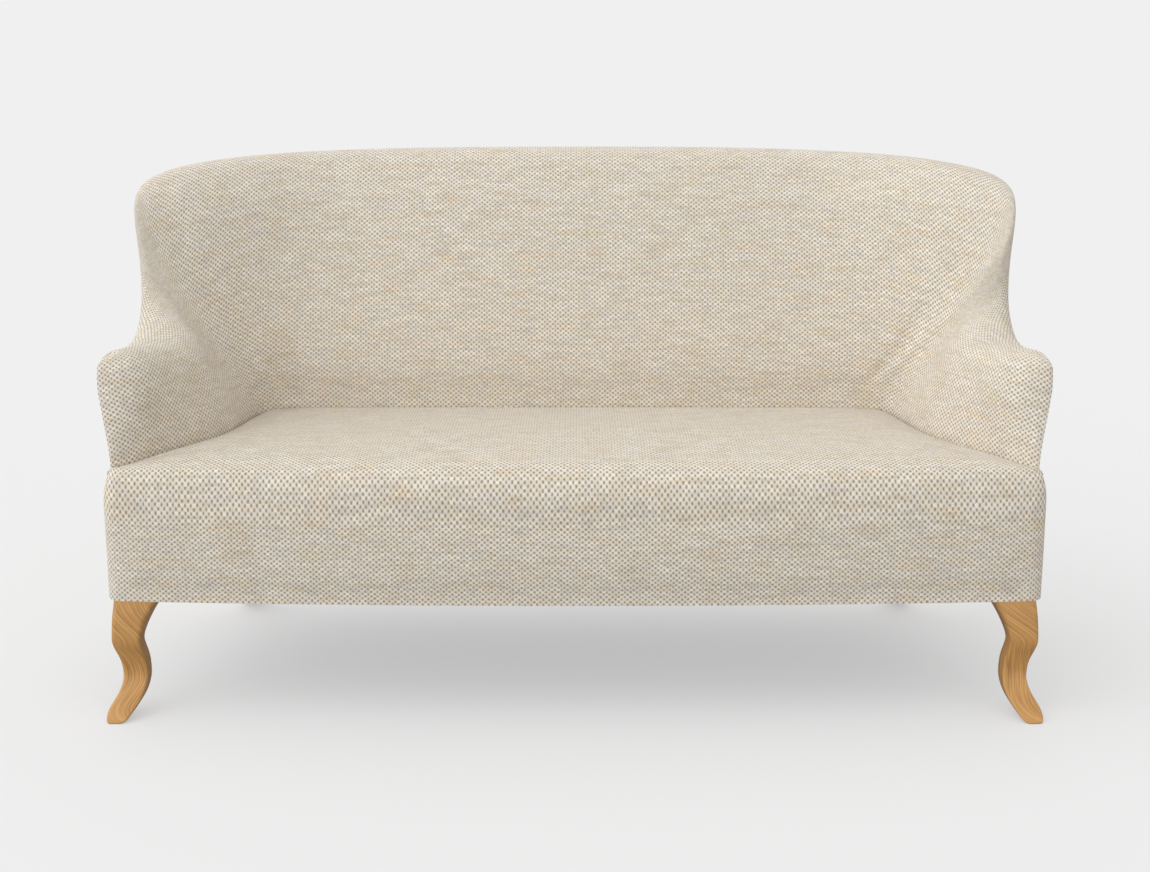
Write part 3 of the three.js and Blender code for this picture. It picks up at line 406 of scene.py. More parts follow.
class ShellSurface:
    """The shell of arms, wings and back, and the outer face behind it, in the design's place.

    A station a runs from -14 at the front of the left arm over 0 in the middle of the back to
    14, and a row b from 1 in the hidden tuck to 8 on the rim.
    """

    def __init__(self, build: Build) -> None:
        """Places the control lines, and puts a spline through each of them.

        Args:
            build: the shared sizes.
        """
        self.build = build
        rise = np.array([0, 0, 1.0])
        tuck, rim = self.raised(TUCK), self.raised(RIM)
        foot = np.array([(x, y, build.base_level) for x, y in FOOT], float)
        steps = (-build.hem_drop, -build.tuck_drop, build.tuck_rise)
        lines = [tuck + step * rise for step in steps]
        lines += [self.raised(line) for line in (LUMBAR, SHOULDER, BROW, CREST, EDGE)]
        lines += [rim, rim + build.rim_return * unit(foot - rim)]
        self.control = natural_spline(mirrored(np.stack(lines, axis=1)))
        outer = np.concatenate([np.array(BELT, float), np.array(FOOT, float)], axis=1)
        other = outer[:0:-1] * np.array([-1, 1, -1, 1])
        self.outer_lines = natural_spline(np.concatenate([other, outer]))
        self.tuck_height = natural_spline(mirrored(tuck)[:, 2:])

    def raised(self, line: list[tuple[float, float, float]]) -> Array:
        """A control line with its heights counted from the floor."""
        return np.array(line, float) + np.array([0, 0, self.build.seat_height])

    def inner(self, a: Array, b: Array) -> Array:
        """Point of the shell: a cubic B-spline over the four control lines next to row b.

        Args:
            a: stations.
            b: rows.

        Returns:
            Points in millimetres.
        """
        a, b = np.broadcast_arrays(np.asarray(a, float), np.asarray(b, float))
        control = self.control(a + LAST_STATION)
        k = np.clip(np.floor(b).astype(int), int(FIRST_ROW), int(LAST_ROW) - 1)
        f = b - k
        weights = np.stack([
            (1 - f) ** 3, 3 * f**3 - 6 * f**2 + 4, -3 * f**3 + 3 * f**2 + 3 * f + 1, f**3], -1) / 6
        picked = np.take_along_axis(control, (k[..., None] - 1 + np.arange(4))[..., None], axis=-2)
        return (weights[..., None] * picked).sum(-2)

    def outer(self, a: Array, t: Array) -> Array:
        """Point of the outer face: a parabola in plan from the rim (t 0) through the belt to the
        bottom edge (t 1), with the height falling evenly.

        Args:
            a: stations.
            t: places from the rim to the bottom edge.

        Returns:
            Points in millimetres.
        """
        a, t = np.broadcast_arrays(np.asarray(a, float), np.asarray(t, float))
        rim = self.inner(a, np.full_like(a, LAST_ROW))
        lines = self.outer_lines(a + LAST_STATION)
        belt, foot = lines[..., :2], lines[..., 2:]
        bulge = 2 * belt - (rim[..., :2] + foot) / 2
        t, s = t[..., None], 1 - t[..., None]
        plan = s * s * rim[..., :2] + 2 * s * t * bulge + t * t * foot
        return np.concatenate([plan, s * rim[..., 2:] + t * self.build.base_level], axis=-1)

    def seam(self, a: Array) -> Array:
        """Line where the seat meets the shell, one seam gap off the shell.

        Args:
            a: stations.

        Returns:
            Points in millimetres.
        """
        low, high = (self.inner(a, row) + self.build.seam_gap * outward(self.inner, a, row)
                     for row in (FIRST_ROW, SEAT_ROW))
        x = np.sign(a) * np.minimum(abs(low[..., 0]), abs(high[..., 0]))
        y = np.minimum(low[..., 1], high[..., 1])
        return np.stack([x, y, self.tuck_height(a + LAST_STATION)[..., 0]], axis=-1)

    def corner_station(self, b: Array, gap: float) -> Array:
        """Half a gap over the length of one station, at the seam between inner back and arm.

        Args:
            b: rows.
            gap: the whole gap in millimetres.

        Returns:
            Part of a station that half the gap takes up, at each row.
        """
        step = 0.004
        here = np.full_like(b, CORNER_STATION)
        slope = np.linalg.norm(self.inner(here + step, b) - self.inner(here - step, b), axis=-1)
        return gap * step / slope


@dataclass
class SeatSurface:
    """The seat: u runs from -1 to 1 along it, v from 0 to 1 up the front, to 2 over the front
    roll and to 3 back to the seam under the inner back.

    The corner and the ear are given as shares of u, and settled as a share of the top's depth.
    """

    build: Build
    shell: ShellSurface
    corner_from: float = 0.9
    corner_run: float = 0.06
    ear_from: float = 0.96
    ear_run: float = 0.04
    settled: float = 0.22
    top_width: float = 0.98
    ear_width: float = 0.02
    side_fall: float = 0.35

    def front(self, u: Array) -> Array:
        """Plan of the front: a bow y = 30 (x / 850)^2, a quarter circle and a short return.

        Args:
            u: places along the front.

        Returns:
            Points in plan, across and deep, in millimetres.
        """
        build = self.build
        size = abs(u)
        straight = build.half_width - build.front_corner_radius
        x = straight * np.minimum(size, self.corner_from) / self.corner_from
        y = build.front_bow * (x / build.half_width) ** 2
        corner_y = build.front_bow * (straight / build.half_width) ** 2 + build.front_corner_radius
        part = (np.clip(size, self.corner_from, self.ear_from) - self.corner_from) / self.corner_run
        angle = part * math.pi / 2
        turned = size > self.corner_from
        x = np.where(turned, straight + build.front_corner_radius * np.sin(angle), x)
        y = np.where(turned, corner_y - build.front_corner_radius * np.cos(angle), y)
        past = np.maximum(size - self.ear_from, 0)
        y = y + (build.ear_depth - corner_y) * past / self.ear_run
        return np.stack([np.sign(u) * x, y], axis=-1)

    def sunk_roll(self, gap: Array) -> Array:
        """Drop of the top beside a seam: a quarter circle, deepest at the seam and 26 mm wide."""
        share = 1 - np.clip(gap / self.build.seam_roll, 0, 1)
        return self.build.seam_sink * (1 - np.sqrt(np.maximum(1 - share * share, 0)))

    def top(self, u: Array, deep: Array) -> Array:
        """Point of the top: the middle line crowned, the ears falling away, the sides on the
        seam with the arms and the rear edge on the seam with the back.

        Args:
            u: places along the seat.
            deep: places from the front roll, 0, to the rear seam, 1.

        Returns:
            Points in millimetres.
        """
        build, shell = self.build, self.shell
        end = shell.seam(FRONT_STATION + (CORNER_STATION - FRONT_STATION) * deep)
        plan = self.front(u)
        ear = plan[..., 1] / build.ear_depth
        out = abs(plan[..., 0]) / build.half_width * self.top_width + self.ear_width * ear
        settled = np.minimum(deep / self.settled, 1)
        bend = ear + (out * out - ear) * settled
        centre = float(shell.seam(np.array(0.0))[1])
        middle_y = build.top_roll_depth + (centre - build.top_roll_depth) * deep
        shares, stations = np.array(REAR_RUN, float).T
        rear = shell.seam(np.sign(u) * np.interp(abs(u), shares, stations))
        pull = deep**6
        x = out * end[..., 0] * np.sign(u)
        x = x + (rear[..., 0] - x) * pull
        y = middle_y + (end[..., 1] - middle_y) * bend
        y = y + (rear[..., 1] - y) * pull
        rise = np.sin(np.minimum(deep * 2, 1) * math.pi / 2)
        crown = build.seat_crown_height - build.seat_front_height
        middle_z = build.seat_front_height + crown * rise
        edge_z = build.ear_top_height + (end[..., 2] - build.ear_top_height) * settled
        fall = np.maximum(self.side_fall * out**4, out**12)
        beside = self.sunk_roll(end[..., 0] - abs(x)) * settled
        sink = np.maximum(beside, self.sunk_roll(centre - y))
        return np.stack([x, y, middle_z - (middle_z - edge_z) * fall - sink], axis=-1)

    def point(self, u: Array, v: Array) -> Array:
        """Point of the seat's skin: upright front, then a quarter turn of an ellipse, then top.

        Args:
            u: places along the seat.
            v: places up the front, over the roll and back.

        Returns:
            Points in millimetres.
        """
        u, v = np.broadcast_arrays(np.asarray(u, float), np.asarray(v, float))
        u, v = np.clip(u, -1, 1), np.clip(v, 0, 3)
        build = self.build
        plan = self.front(u)
        wall_z = build.base_level + (build.front_wall_top - build.base_level) * np.minimum(v, 1)
        wall = np.concatenate([plan, wall_z[..., None]], axis=-1)
        top = self.top(u, np.maximum(v - 2, 0))
        angle = (np.clip(v, 1, 2) - 1) * math.pi / 2
        inward = 1 - np.cos(angle)
        in_ear = np.clip((abs(u) - self.ear_from) / self.ear_run, 0, 1)
        reach = np.minimum(inward * (1 + 1.2 * in_ear), 1)
        edge = self.top(u, np.zeros_like(v))
        roll = np.stack([
            plan[..., 0] + (edge[..., 0] - plan[..., 0]) * inward,
            plan[..., 1] + (edge[..., 1] - plan[..., 1]) * reach,
            build.front_wall_top + (edge[..., 2] - build.front_wall_top) * np.sin(angle)], axis=-1)
        where = v[..., None]
        return np.where(where <= 1, wall, np.where(where >= 2, top, roll))


@dataclass(frozen=True)
class Stuffing:
    """How far a cover swells over its foam: the cloth is sewn at its edges and the foam pushes."""

    pressure: float = 4.0
    cap: float = 5.0
    frames: int = 20

    def swell(self, points: Array, normals: Array, sewn: Array) -> Array:
        """Runs a short cloth simulation on a grid of points.

        Args:
            points: grid of points in millimetres.
            normals: outward direction at each point.
            sewn: share from 0 to 1 of how firmly each point is held.

        Returns:
            Distance that each point moved outwards, in millimetres, from zero, where the foam
            holds the cloth, to the cap.
        """
        mesh = bpy.data.meshes.new("cloth_trial")
        fill_mesh(mesh, points.reshape(-1, 3) * MM, grid_faces(*points.shape[:2]))
        trial = bpy.data.objects.new("cloth_trial", mesh)
        bpy.context.scene.collection.objects.link(trial)
        group = trial.vertex_groups.new(name="sewn")
        flat = sewn.ravel()
        for level in np.unique(np.round(flat, 1)):
            held = np.flatnonzero(np.round(flat, 1) == level)
            group.add(held.tolist(), float(level), "REPLACE")
        cloth = trial.modifiers.new("cloth", "CLOTH")
        settings = {
            "quality": 6, "mass": 0.4, "tension_stiffness": 25, "compression_stiffness": 25,
            "shear_stiffness": 12, "bending_stiffness": 4, "use_pressure": True,
            "uniform_pressure_force": self.pressure, "vertex_group_mass": "sewn"}
        for name, value in settings.items():
            setattr(cloth.settings, name, value)
        cloth.settings.effector_weights.gravity = 0
        cloth.collision_settings.use_collision = False
        cloth.point_cache.frame_start = 1
        cloth.point_cache.frame_end = self.frames
        scene = bpy.context.scene
        for step in range(1, self.frames + 1):
            scene.frame_set(step)
        done = trial.evaluated_get(bpy.context.evaluated_depsgraph_get()).data
        moved = np.empty(len(mesh.vertices) * 3)
        done.vertices.foreach_get("co", moved)
        moved = moved.reshape(points.shape) / MM
        bpy.data.objects.remove(trial)
        bpy.data.meshes.remove(mesh)
        scene.frame_set(1)
        out = ((moved - points) * normals).sum(-1)
        return np.clip(np.nan_to_num(out), 0, self.cap)


def upsampled(coarse: Array, rows: int, columns: int) -> Array:
    """Values of every second grid point spread over the whole grid, then smoothed by quarters.

    Args:
        coarse: values at every second point.
        rows: rows of the whole grid.
        columns: columns of the whole grid.

    Returns:
        Values on the whole grid.
    """
    along = np.linspace(0, coarse.shape[0] - 1, rows)
    low = np.minimum(along.astype(int), coarse.shape[0] - 2)
    part = (along - low)[:, None]
    wide = coarse[low] * (1 - part) + coarse[low + 1] * part
    across = np.linspace(0, coarse.shape[1] - 1, columns)
    low = np.minimum(across.astype(int), coarse.shape[1] - 2)
    part = across - low
    fine = wide[:, low] * (1 - part) + wide[:, low + 1] * part
    for _ in range(3):
        fine[1:-1] = (fine[:-2] + 2 * fine[1:-1] + fine[2:]) / 4
        fine[:, 1:-1] = (fine[:, :-2] + 2 * fine[:, 1:-1] + fine[:, 2:]) / 4
    return fine


def grid_faces(rows: int, columns: int) -> Array:
    """Four-cornered faces of a grid of points stored row by row."""
    first = (np.arange(rows - 1)[:, None] * columns + np.arange(columns - 1)).ravel()
    return np.stack([first, first + columns, first + columns + 1, first + 1], axis=1)


def fill_mesh(mesh: bpy.types.Mesh, points: Array, faces: Array) -> None:
    """Puts points and faces into an empty mesh.

    Args:
        mesh: the mesh.
        points: points in metres.
        faces: point numbers of each face, the same number for all.
    """
    mesh.vertices.add(len(points))
    mesh.vertices.foreach_set("co", np.ascontiguousarray(points, dtype=np.float32).ravel())
    corners = faces.shape[1]
    mesh.loops.add(faces.size)
    mesh.loops.foreach_set("vertex_index", faces.ravel().astype(np.int32))
    mesh.polygons.add(len(faces))
    mesh.polygons.foreach_set("loop_start", np.arange(0, faces.size, corners, dtype=np.int32))
    mesh.update(calc_edges=True)


def finished(name: str, points: Array, faces: Array, flat_map: Array,
             material: bpy.types.Material, sharp: float = 50.0) -> bpy.types.Object:
    """Makes one closed piece from points in the design's millimetres.

    Args:
        name: the piece's name.
        points: points in millimetres, in the design's place.
        faces: four-cornered faces.
        flat_map: place of each point on the flat cloth or board, in millimetres.
        material: the piece's finish.
        sharp: angle in degrees from which an edge stays crisp.

    Returns:
        The piece, in the row frame, with its map of the flat cloth in metres.
    """
    metres = points * MM + np.array([0, DESIGN_SHIFT, 0])
    first, second, third, fourth = (metres[faces[:, k]] for k in range(4))
    volume = (np.cross(first, second) * third).sum() + (np.cross(first, third) * fourth).sum()
    if volume < 0:
        faces = faces[:, ::-1]
    mesh = bpy.data.meshes.new(name)
    fill_mesh(mesh, metres, faces)
    layer = mesh.uv_layers.new(name=WEAVE_MAP)
    layer.uv.foreach_set("vector", (flat_map[faces.ravel()] * MM).astype(np.float32).ravel())
    mesh.polygons.foreach_set("use_smooth", np.ones(len(faces), bool))
    mesh.set_sharp_from_angle(angle=math.radians(sharp))
    mesh.materials.append(material)
    piece = bpy.data.objects.new(name, mesh)
    bpy.context.scene.collection.objects.link(piece)
    log.info("%s: %d faces", name, len(faces))
    return piece


def slab(name: str, upper: Array, lower: Array, flat_map: Array,
         material: bpy.types.Material) -> bpy.types.Object:
    """Closed slab between two grids of points, with walls round its four edges.

    Args:
        name: the piece's name.
        upper: outer grid of points in millimetres.
        lower: inner grid of the same shape.
        flat_map: place of each grid point on the flat cloth, in millimetres.
        material: the piece's finish.

    Returns:
        The piece.
    """
    rows, columns = upper.shape[:2]
    shift = rows * columns
    top = grid_faces(rows, columns)
    index = np.arange(shift).reshape(rows, columns)
    rim = np.concatenate([index[:-1, 0], index[-1, :-1], index[:0:-1, -1], index[0, :0:-1]])
    after = np.roll(rim, -1)
    walls = np.stack([after, rim, rim + shift, after + shift], axis=1)
    faces = np.concatenate([top, top[:, ::-1] + shift, walls])
    points = np.concatenate([upper.reshape(-1, 3), lower.reshape(-1, 3)])
    flat = flat_map.reshape(-1, 2)
    return finished(name, points, faces, np.concatenate([flat, flat]), material)


def join_frame(piece: bpy.types.Object, slot: str, *nodes: str) -> bpy.types.Object:
    """Lets a piece stand for CAD nodes: it rides on the body and the nodes are hidden.

    Args:
        piece: the piece.
        slot: its material slot; not used.
        nodes: the CAD nodes.

    Returns:
        The same piece.
    """
    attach(piece, BODY)
    if nodes:
        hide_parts(*nodes)
    return piece


@dataclass(frozen=True)
class BasketWeave:
    """Cream basket weave cloth, woven of thick soft cotton and linen yarn, matt and heathered.

    The eye sees rows of light beads set in a brick bond, with painted shade in a small dark gap
    beside each and between the rows, cloudy tan and grey patches from mixed yarn, and thin slubs
    that run along the rows.
    """

    bead_width_mm: float = 5.4
    bead_height_mm: float = 4.65
    yarn: str = "#E8E1D5"
    yarn_tan: str = "#E4D4BA"
    yarn_grey: str = "#DAD5CF"
    # Painted shade: the dark colour given to the hollows between beads and rows
    gap: str = "#8C7856"
    relief_mm: float = 0.9
    row_share: float = 0.3

    def material(self) -> bpy.types.Material:
        """Builds the cloth: it dips where sin(pi x / width) sin(pi y / height) is far below 0, and
        there its colour turns to the gap colour, which is painted shade.

        A part of abs(sin(pi y / height)) is added, which draws the rows between the beads, both as
        a dip and as painted shade.

        Returns:
            The material.
        """
        material, tree, shader = new_material("basket_weave_cotton_linen")
        flat = put(tree, "UVMap", uv_map=WEAVE_MAP).outputs[0]
        # The yarn isn't straight: rows and columns wander by a fraction of a bead
        drift = put(tree, "TexNoise", {"Vector": flat, "Scale": 55.0, "Detail": 1.0})
        centred = put(tree, "VectorMath", {0: drift.outputs["Color"], 1: (0.5, 0.5, 0.5)},
                      operation="SUBTRACT").outputs[0]
        wander = put(tree, "VectorMath", {0: centred, 1: flat, "Scale": 0.004}, operation="SCALE")
        bent = put(tree, "VectorMath", {0: flat, 1: wander.outputs[0]}, operation="ADD").outputs[0]
        halves = (math.pi / (self.bead_width_mm * MM), math.pi / (self.bead_height_mm * MM), 1.0)
        turns = put(tree, "VectorMath", {0: bent, 1: halves}, operation="MULTIPLY").outputs[0]
        waves = put(tree, "VectorMath", {0: turns}, operation="SINE").outputs[0]
        parts = put(tree, "SeparateXYZ", {0: waves})
        lattice = put(tree, "Math", {0: parts.outputs[0], 1: parts.outputs[1]},
                      operation="MULTIPLY").outputs[0]
        # The cloth also dips a little between its rows and takes painted shade there, so that they
        # read as lines from afar
        row = put(tree, "Math", {0: parts.outputs[1]}, operation="ABSOLUTE").outputs[0]
        ridges = put(tree, "Math", {0: row, 1: self.row_share, 2: lattice},
                     operation="MULTIPLY_ADD").outputs[0]
        bead = put(tree, "MapRange", {0: ridges, 1: -0.75, 2: 0.2, 3: 0.0, 4: 1.0}).outputs[0]
        # Each bead is a stretch of its own yarn, so its tone is its own
        beads = put(tree, "VectorMath", {0: bent, 1: tuple(h / math.pi for h in halves)},
                    operation="MULTIPLY").outputs[0]
        whole = put(tree, "VectorMath", {0: beads}, operation="FLOOR").outputs[0]
        own = put(tree, "TexWhiteNoise", {"Vector": whole}, noise_dimensions="2D").outputs[0]
        # Clouds of tan and grey yarn, wider along the rows than across them
        stretched = put(tree, "VectorMath", {0: flat, 1: (14.0, 46.0, 1.0)},
                        operation="MULTIPLY").outputs[0]
        cloud = put(tree, "TexNoise", {"Vector": stretched, "Scale": 1.0, "Detail": 3.0,
                                       "Roughness": 0.65}).outputs[0]
        shifted = put(tree, "VectorMath", {0: stretched, 1: (37.0, 11.0, 0.0)},
                      operation="ADD").outputs[0]
        mist = put(tree, "TexNoise", {"Vector": shifted, "Scale": 1.7, "Detail": 3.0,
                                      "Roughness": 0.65}).outputs[0]
        tan_part = put(tree, "MapRange", {0: cloud, 1: 0.46, 2: 0.70, 3: 0.0, 4: 0.85}).outputs[0]
        grey_part = put(tree, "MapRange", {0: mist, 1: 0.48, 2: 0.70, 3: 0.0, 4: 0.75}).outputs[0]
        tanned = put(tree, "Mix", {0: tan_part, 6: linear(self.yarn), 7: linear(self.yarn_tan)},
                     data_type="RGBA").outputs[2]
        yarn = put(tree, "Mix", {0: grey_part, 6: tanned, 7: linear(self.yarn_grey)},
                   data_type="RGBA").outputs[2]
        # Slubs: thick places in the weft, one bead high and 40 to 90 mm long
        rows = put(tree, "VectorMath", {0: flat, 1: (16.0, 1 / (self.bead_height_mm * MM), 1.0)},
                   operation="MULTIPLY").outputs[0]
        slub = put(tree, "TexNoise", {"Vector": rows, "Scale": 1.0, "Detail": 1.0}).outputs[0]
        slub_tone = put(tree, "MapRange", {0: slub, 1: 0.3, 2: 0.7, 3: 0.91, 4: 1.07}).outputs[0]
        own_tone = put(tree, "MapRange", {0: own, 1: 0.0, 2: 1.0, 3: 0.90, 4: 1.07}).outputs[0]
        tone = put(tree, "Math", {0: slub_tone, 1: own_tone}, operation="MULTIPLY").outputs[0]
        toned = put(tree, "Mix", {0: 1.0, 6: yarn, 7: tone}, data_type="RGBA",
                    blend_type="MULTIPLY").outputs[2]
        # Painted shade: the gap colour fills the hollows between the beads and between the rows
        body = put(tree, "Mix", {0: bead, 6: linear(self.gap), 7: toned},
                   data_type="RGBA").outputs[2]
        # Twisted fibres inside a bead, drawn at 0.9 mm so that a close view still shows them
        fibre = put(tree, "TexNoise", {"Vector": flat, "Scale": 1100.0, "Detail": 1.0}).outputs[0]
        fibre_part = put(tree, "Math", {0: fibre, 1: 0.16}, operation="MULTIPLY").outputs[0]
        height = put(tree, "Math", {0: bead, 1: fibre_part}, operation="ADD").outputs[0]
        bump = put(tree, "Bump", {"Strength": 0.7, "Distance": self.relief_mm * MM,
                                  "Height": height}).outputs[0]
        rough = put(tree, "MapRange", {0: bead, 1: 0.0, 2: 1.0, 3: 1.0, 4: 0.86}).outputs[0]
        wire(shader, {"Base Color": body, "Normal": bump, "Roughness": rough,
                      "Specular IOR Level": 0.25, "Sheen Weight": 0.12, "Sheen Roughness": 0.5})
        return material


@dataclass(frozen=True)
class HoneyOak:
    """Honey oak, sanded round and lacquered satin: growth rings follow the leg, with fine pores."""

    light: str = "#D9A765"
    middle: str = "#C08D4E"
    dark: str = "#8F6534"
    ring_mm: float = 2.8

    def material(self) -> bpy.types.Material:
        """Builds the oak from the map along the leg, so that the grain bends as the leg does.

        Returns:
            The material.
        """
        material, tree, shader = new_material("honey_oak_satin_lacquer")
        flat = put(tree, "UVMap", uv_map=WEAVE_MAP).outputs[0]
        long_way = put(tree, "VectorMath", {0: flat, 1: (1.0, 0.03, 1.0)},
                       operation="MULTIPLY").outputs[0]
        rings = put(tree, "TexNoise", {"Vector": long_way, "Scale": 1 / (self.ring_mm * MM),
                                       "Detail": 4.0, "Roughness": 0.6, "Distortion": 0.15})
        tone = put(tree, "ValToRGB", {0: rings.outputs[0]})
        ramp(tone.color_ramp, [(0.30, self.dark), (0.47, self.middle), (0.68, self.light)])
        pore_way = put(tree, "VectorMath", {0: flat, 1: (1.0, 0.035, 1.0)},
                       operation="MULTIPLY").outputs[0]
        pores = put(tree, "TexNoise", {"Vector": pore_way, "Scale": 900.0,
                                       "Detail": 2.0}).outputs[0]
        pore_part = put(tree, "MapRange", {0: pores, 1: 0.56, 2: 0.72, 3: 0.0, 4: 0.55}).outputs[0]
        body = put(tree, "Mix", {0: pore_part, 6: tone.outputs[0], 7: linear(self.dark)},
                   data_type="RGBA").outputs[2]
        rough = put(tree, "MapRange", {0: pores, 1: 0.3, 2: 0.7, 3: 0.36, 4: 0.52}).outputs[0]
        bump = put(tree, "Bump", {"Strength": 0.25, "Distance": 0.0003, "Height": pores},
                   invert=True).outputs[0]
        wire(shader, {"Base Color": body, "Roughness": rough, "Normal": bump,
                      "Coat Weight": 0.15, "Coat Roughness": 0.35})
        return material


@dataclass(frozen=True)
class PlanedBeech:
    """Planed beech left bare: pale straw boards with short darker flecks along the fibres."""

    light: str = "#DDBE8E"
    middle: str = "#CBA674"
    fleck: str = "#A67C4C"

    def material(self, grain: Grain) -> bpy.types.Material:
        """Builds the timber for boards whose fibres run one way.

        Args:
            grain: the way of the fibres.

        Returns:
            The material.
        """
        material, tree, shader = new_material("planed_beech_" + grain.name.lower())
        place = put(tree, "TexCoord").outputs["Object"]
        along = put(tree, "VectorMath", {0: place, 1: grain.value}, operation="MULTIPLY").outputs[0]
        rings = put(tree, "TexNoise", {"Vector": along, "Scale": 5.0, "Detail": 4.0,
                                       "Distortion": 0.4}).outputs[0]
        tone = put(tree, "ValToRGB", {0: rings})
        ramp(tone.color_ramp, [(0.32, self.middle), (0.66, self.light)])
        flecks = put(tree, "TexVoronoi", {"Vector": along, "Scale": 38.0}).outputs[0]
        part = put(tree, "MapRange", {0: flecks, 1: 0.04, 2: 0.16, 3: 0.6, 4: 0.0}).outputs[0]
        body = put(tree, "Mix", {0: part, 6: tone.outputs[0], 7: linear(self.fleck)},
                   data_type="RGBA").outputs[2]
        rough = put(tree, "MapRange", {0: rings, 1: 0.3, 2: 0.7, 3: 0.62, 4: 0.8}).outputs[0]
        bump = put(tree, "Bump", {"Strength": 0.3, "Distance": 0.0003, "Height": rings}).outputs[0]
        wire(shader, {"Base Color": body, "Roughness": rough, "Normal": bump})
        return material


@dataclass(frozen=True)
class OpenFoam:
    """Cut polyether foam: cream, dull, with open cells drawn at 2 mm so that they show."""

    light: str = "#EBE1BE"
    cell: str = "#CDBF93"

    def material(self) -> bpy.types.Material:
        """Builds the foam from the distance to the middle of each open cell.

        Returns:
            The material.
        """
        material, tree, shader = new_material("cut_polyether_foam")
        place = put(tree, "TexCoord").outputs["Object"]
        cells = put(tree, "TexVoronoi", {"Vector": place, "Scale": 500.0}).outputs[0]
        body = put(tree, "Mix", {0: cells, 6: linear(self.cell), 7: linear(self.light)},
                   data_type="RGBA").outputs[2]
        bump = put(tree, "Bump", {"Strength": 0.5, "Distance": 0.0006,
                                  "Height": cells}).outputs[0]
        wire(shader, {"Base Color": body, "Normal": bump, "Roughness": 0.95})
        return material


@dataclass(frozen=True)
class PlainWeave:
    """A thin plain weave of one yarn: over and under threads drawn as crossed waves."""

    name: str
    thread: str
    gap: str
    pitch_mm: float
    roughness: float = 0.92

    def material(self) -> bpy.types.Material:
        """Builds the weave: the higher of two crossed sine waves is the thread that shows.

        Returns:
            The material.
        """
        material, tree, shader = new_material(self.name)
        flat = put(tree, "UVMap", uv_map=WEAVE_MAP).outputs[0]
        turn = math.pi / (self.pitch_mm * MM)
        turns = put(tree, "VectorMath", {0: flat, 1: (turn, turn, 1.0)},
                    operation="MULTIPLY").outputs[0]
        waves = put(tree, "VectorMath", {0: turns}, operation="SINE").outputs[0]
        parts = put(tree, "SeparateXYZ", {0: waves})
        lattice = put(tree, "Math", {0: parts.outputs[0], 1: parts.outputs[1]},
                      operation="MULTIPLY").outputs[0]
        raised = put(tree, "Math", {0: lattice}, operation="ABSOLUTE").outputs[0]
        uneven = put(tree, "TexNoise", {"Vector": flat, "Scale": 90.0, "Detail": 2.0}).outputs[0]
        height = put(tree, "Math", {0: raised, 1: uneven}, operation="MULTIPLY").outputs[0]
        part = put(tree, "MapRange", {0: height, 1: 0.05, 2: 0.4, 3: 0.0, 4: 1.0}).outputs[0]
        body = put(tree, "Mix", {0: part, 6: linear(self.gap), 7: linear(self.thread)},
                   data_type="RGBA").outputs[2]
        bump = put(tree, "Bump", {"Strength": 0.5, "Distance": 0.0004,
                                  "Height": height}).outputs[0]
        wire(shader, {"Base Color": body, "Normal": bump, "Roughness": self.roughness})
        return material


@dataclass(frozen=True)
class RubberWebbing:
    """Rubberised elastic webbing: brown ribs across the strap with a dull skin."""

    rib: str = "#7A5840"
    groove: str = "#4A3325"

    def material(self) -> bpy.types.Material:
        """Builds the webbing from bands 3 mm apart along the height of the back.

        Returns:
            The material.
        """
        material, tree, shader = new_material("rubberised_elastic_webbing")
        place = put(tree, "TexCoord").outputs["Object"]
        bands = put(tree, "TexWave", {"Vector": place, "Scale": 52.0, "Distortion": 0.4},
                    bands_direction="Z").outputs["Fac"]
        body = put(tree, "Mix", {0: bands, 6: linear(self.groove), 7: linear(self.rib)},
                   data_type="RGBA").outputs[2]
        bump = put(tree, "Bump", {"Strength": 0.5, "Distance": 0.0004,
                                  "Height": bands}).outputs[0]
        wire(shader, {"Base Color": body, "Normal": bump, "Roughness": 0.85})
        return material


@dataclass(frozen=True)
class Steel:
    """Drawn or plated steel: grey metal with fine draw marks and duller patches."""

    name: str
    colour: str
    dull: float
    bright: float

    def material(self) -> bpy.types.Material:
        """Builds the metal, its roughness clouded at about 4 mm.

        Returns:
            The material.
        """
        material, tree, shader = new_material(self.name)
        place = put(tree, "TexCoord").outputs["Object"]
        marks = put(tree, "TexNoise", {"Vector": place, "Scale": 240.0, "Detail": 3.0}).outputs[0]
        rough = put(tree, "MapRange", {0: marks, 1: 0.3, 2: 0.7, 3: self.bright, 4: self.dull})
        bump = put(tree, "Bump", {"Strength": 0.15, "Distance": 0.0001, "Height": marks})
        wire(shader, {"Base Color": linear(self.colour), "Metallic": 1.0,
                      "Roughness": rough.outputs[0], "Normal": bump.outputs[0]})
        return material


@dataclass(frozen=True)
class Crease:
    """A soft fold that the pulled cloth makes, along places (station, row) of the right half."""

    places: tuple[tuple[float, float], ...]
    depth: float
    width: float
    taper: float = 0.25

    def sink(self, shell: ShellSurface, points: Array) -> Array:
        """Depth of the fold at each point: a bell over the distance to the nearest place on it,
        less deep towards its two ends.

        Args:
            shell: the surface that the fold lies on.
            points: points of that surface in millimetres.

        Returns:
            Depth in millimetres, the same on both halves of the settee.
        """
        count = 12 * (len(self.places) - 1) + 1
        a, b = natural_spline(np.array(self.places, float))(
            np.linspace(0, len(self.places) - 1, count)).T
        line = shell.inner(a, b)
        share = np.linspace(0, 1, count)
        strength = smooth_step(np.minimum(share, 1 - share), 0, self.taper)
        flat = points.reshape(-1, 3).copy()
        flat[:, 0] = abs(flat[:, 0])
        deepest = np.zeros(len(flat))
        for place, strong in zip(line, strength):
            off = np.linalg.norm(flat - place, axis=1) / self.width
            deepest = np.maximum(deepest, strong * np.exp(-off * off))
        return self.depth * deepest.reshape(points.shape[:-1])


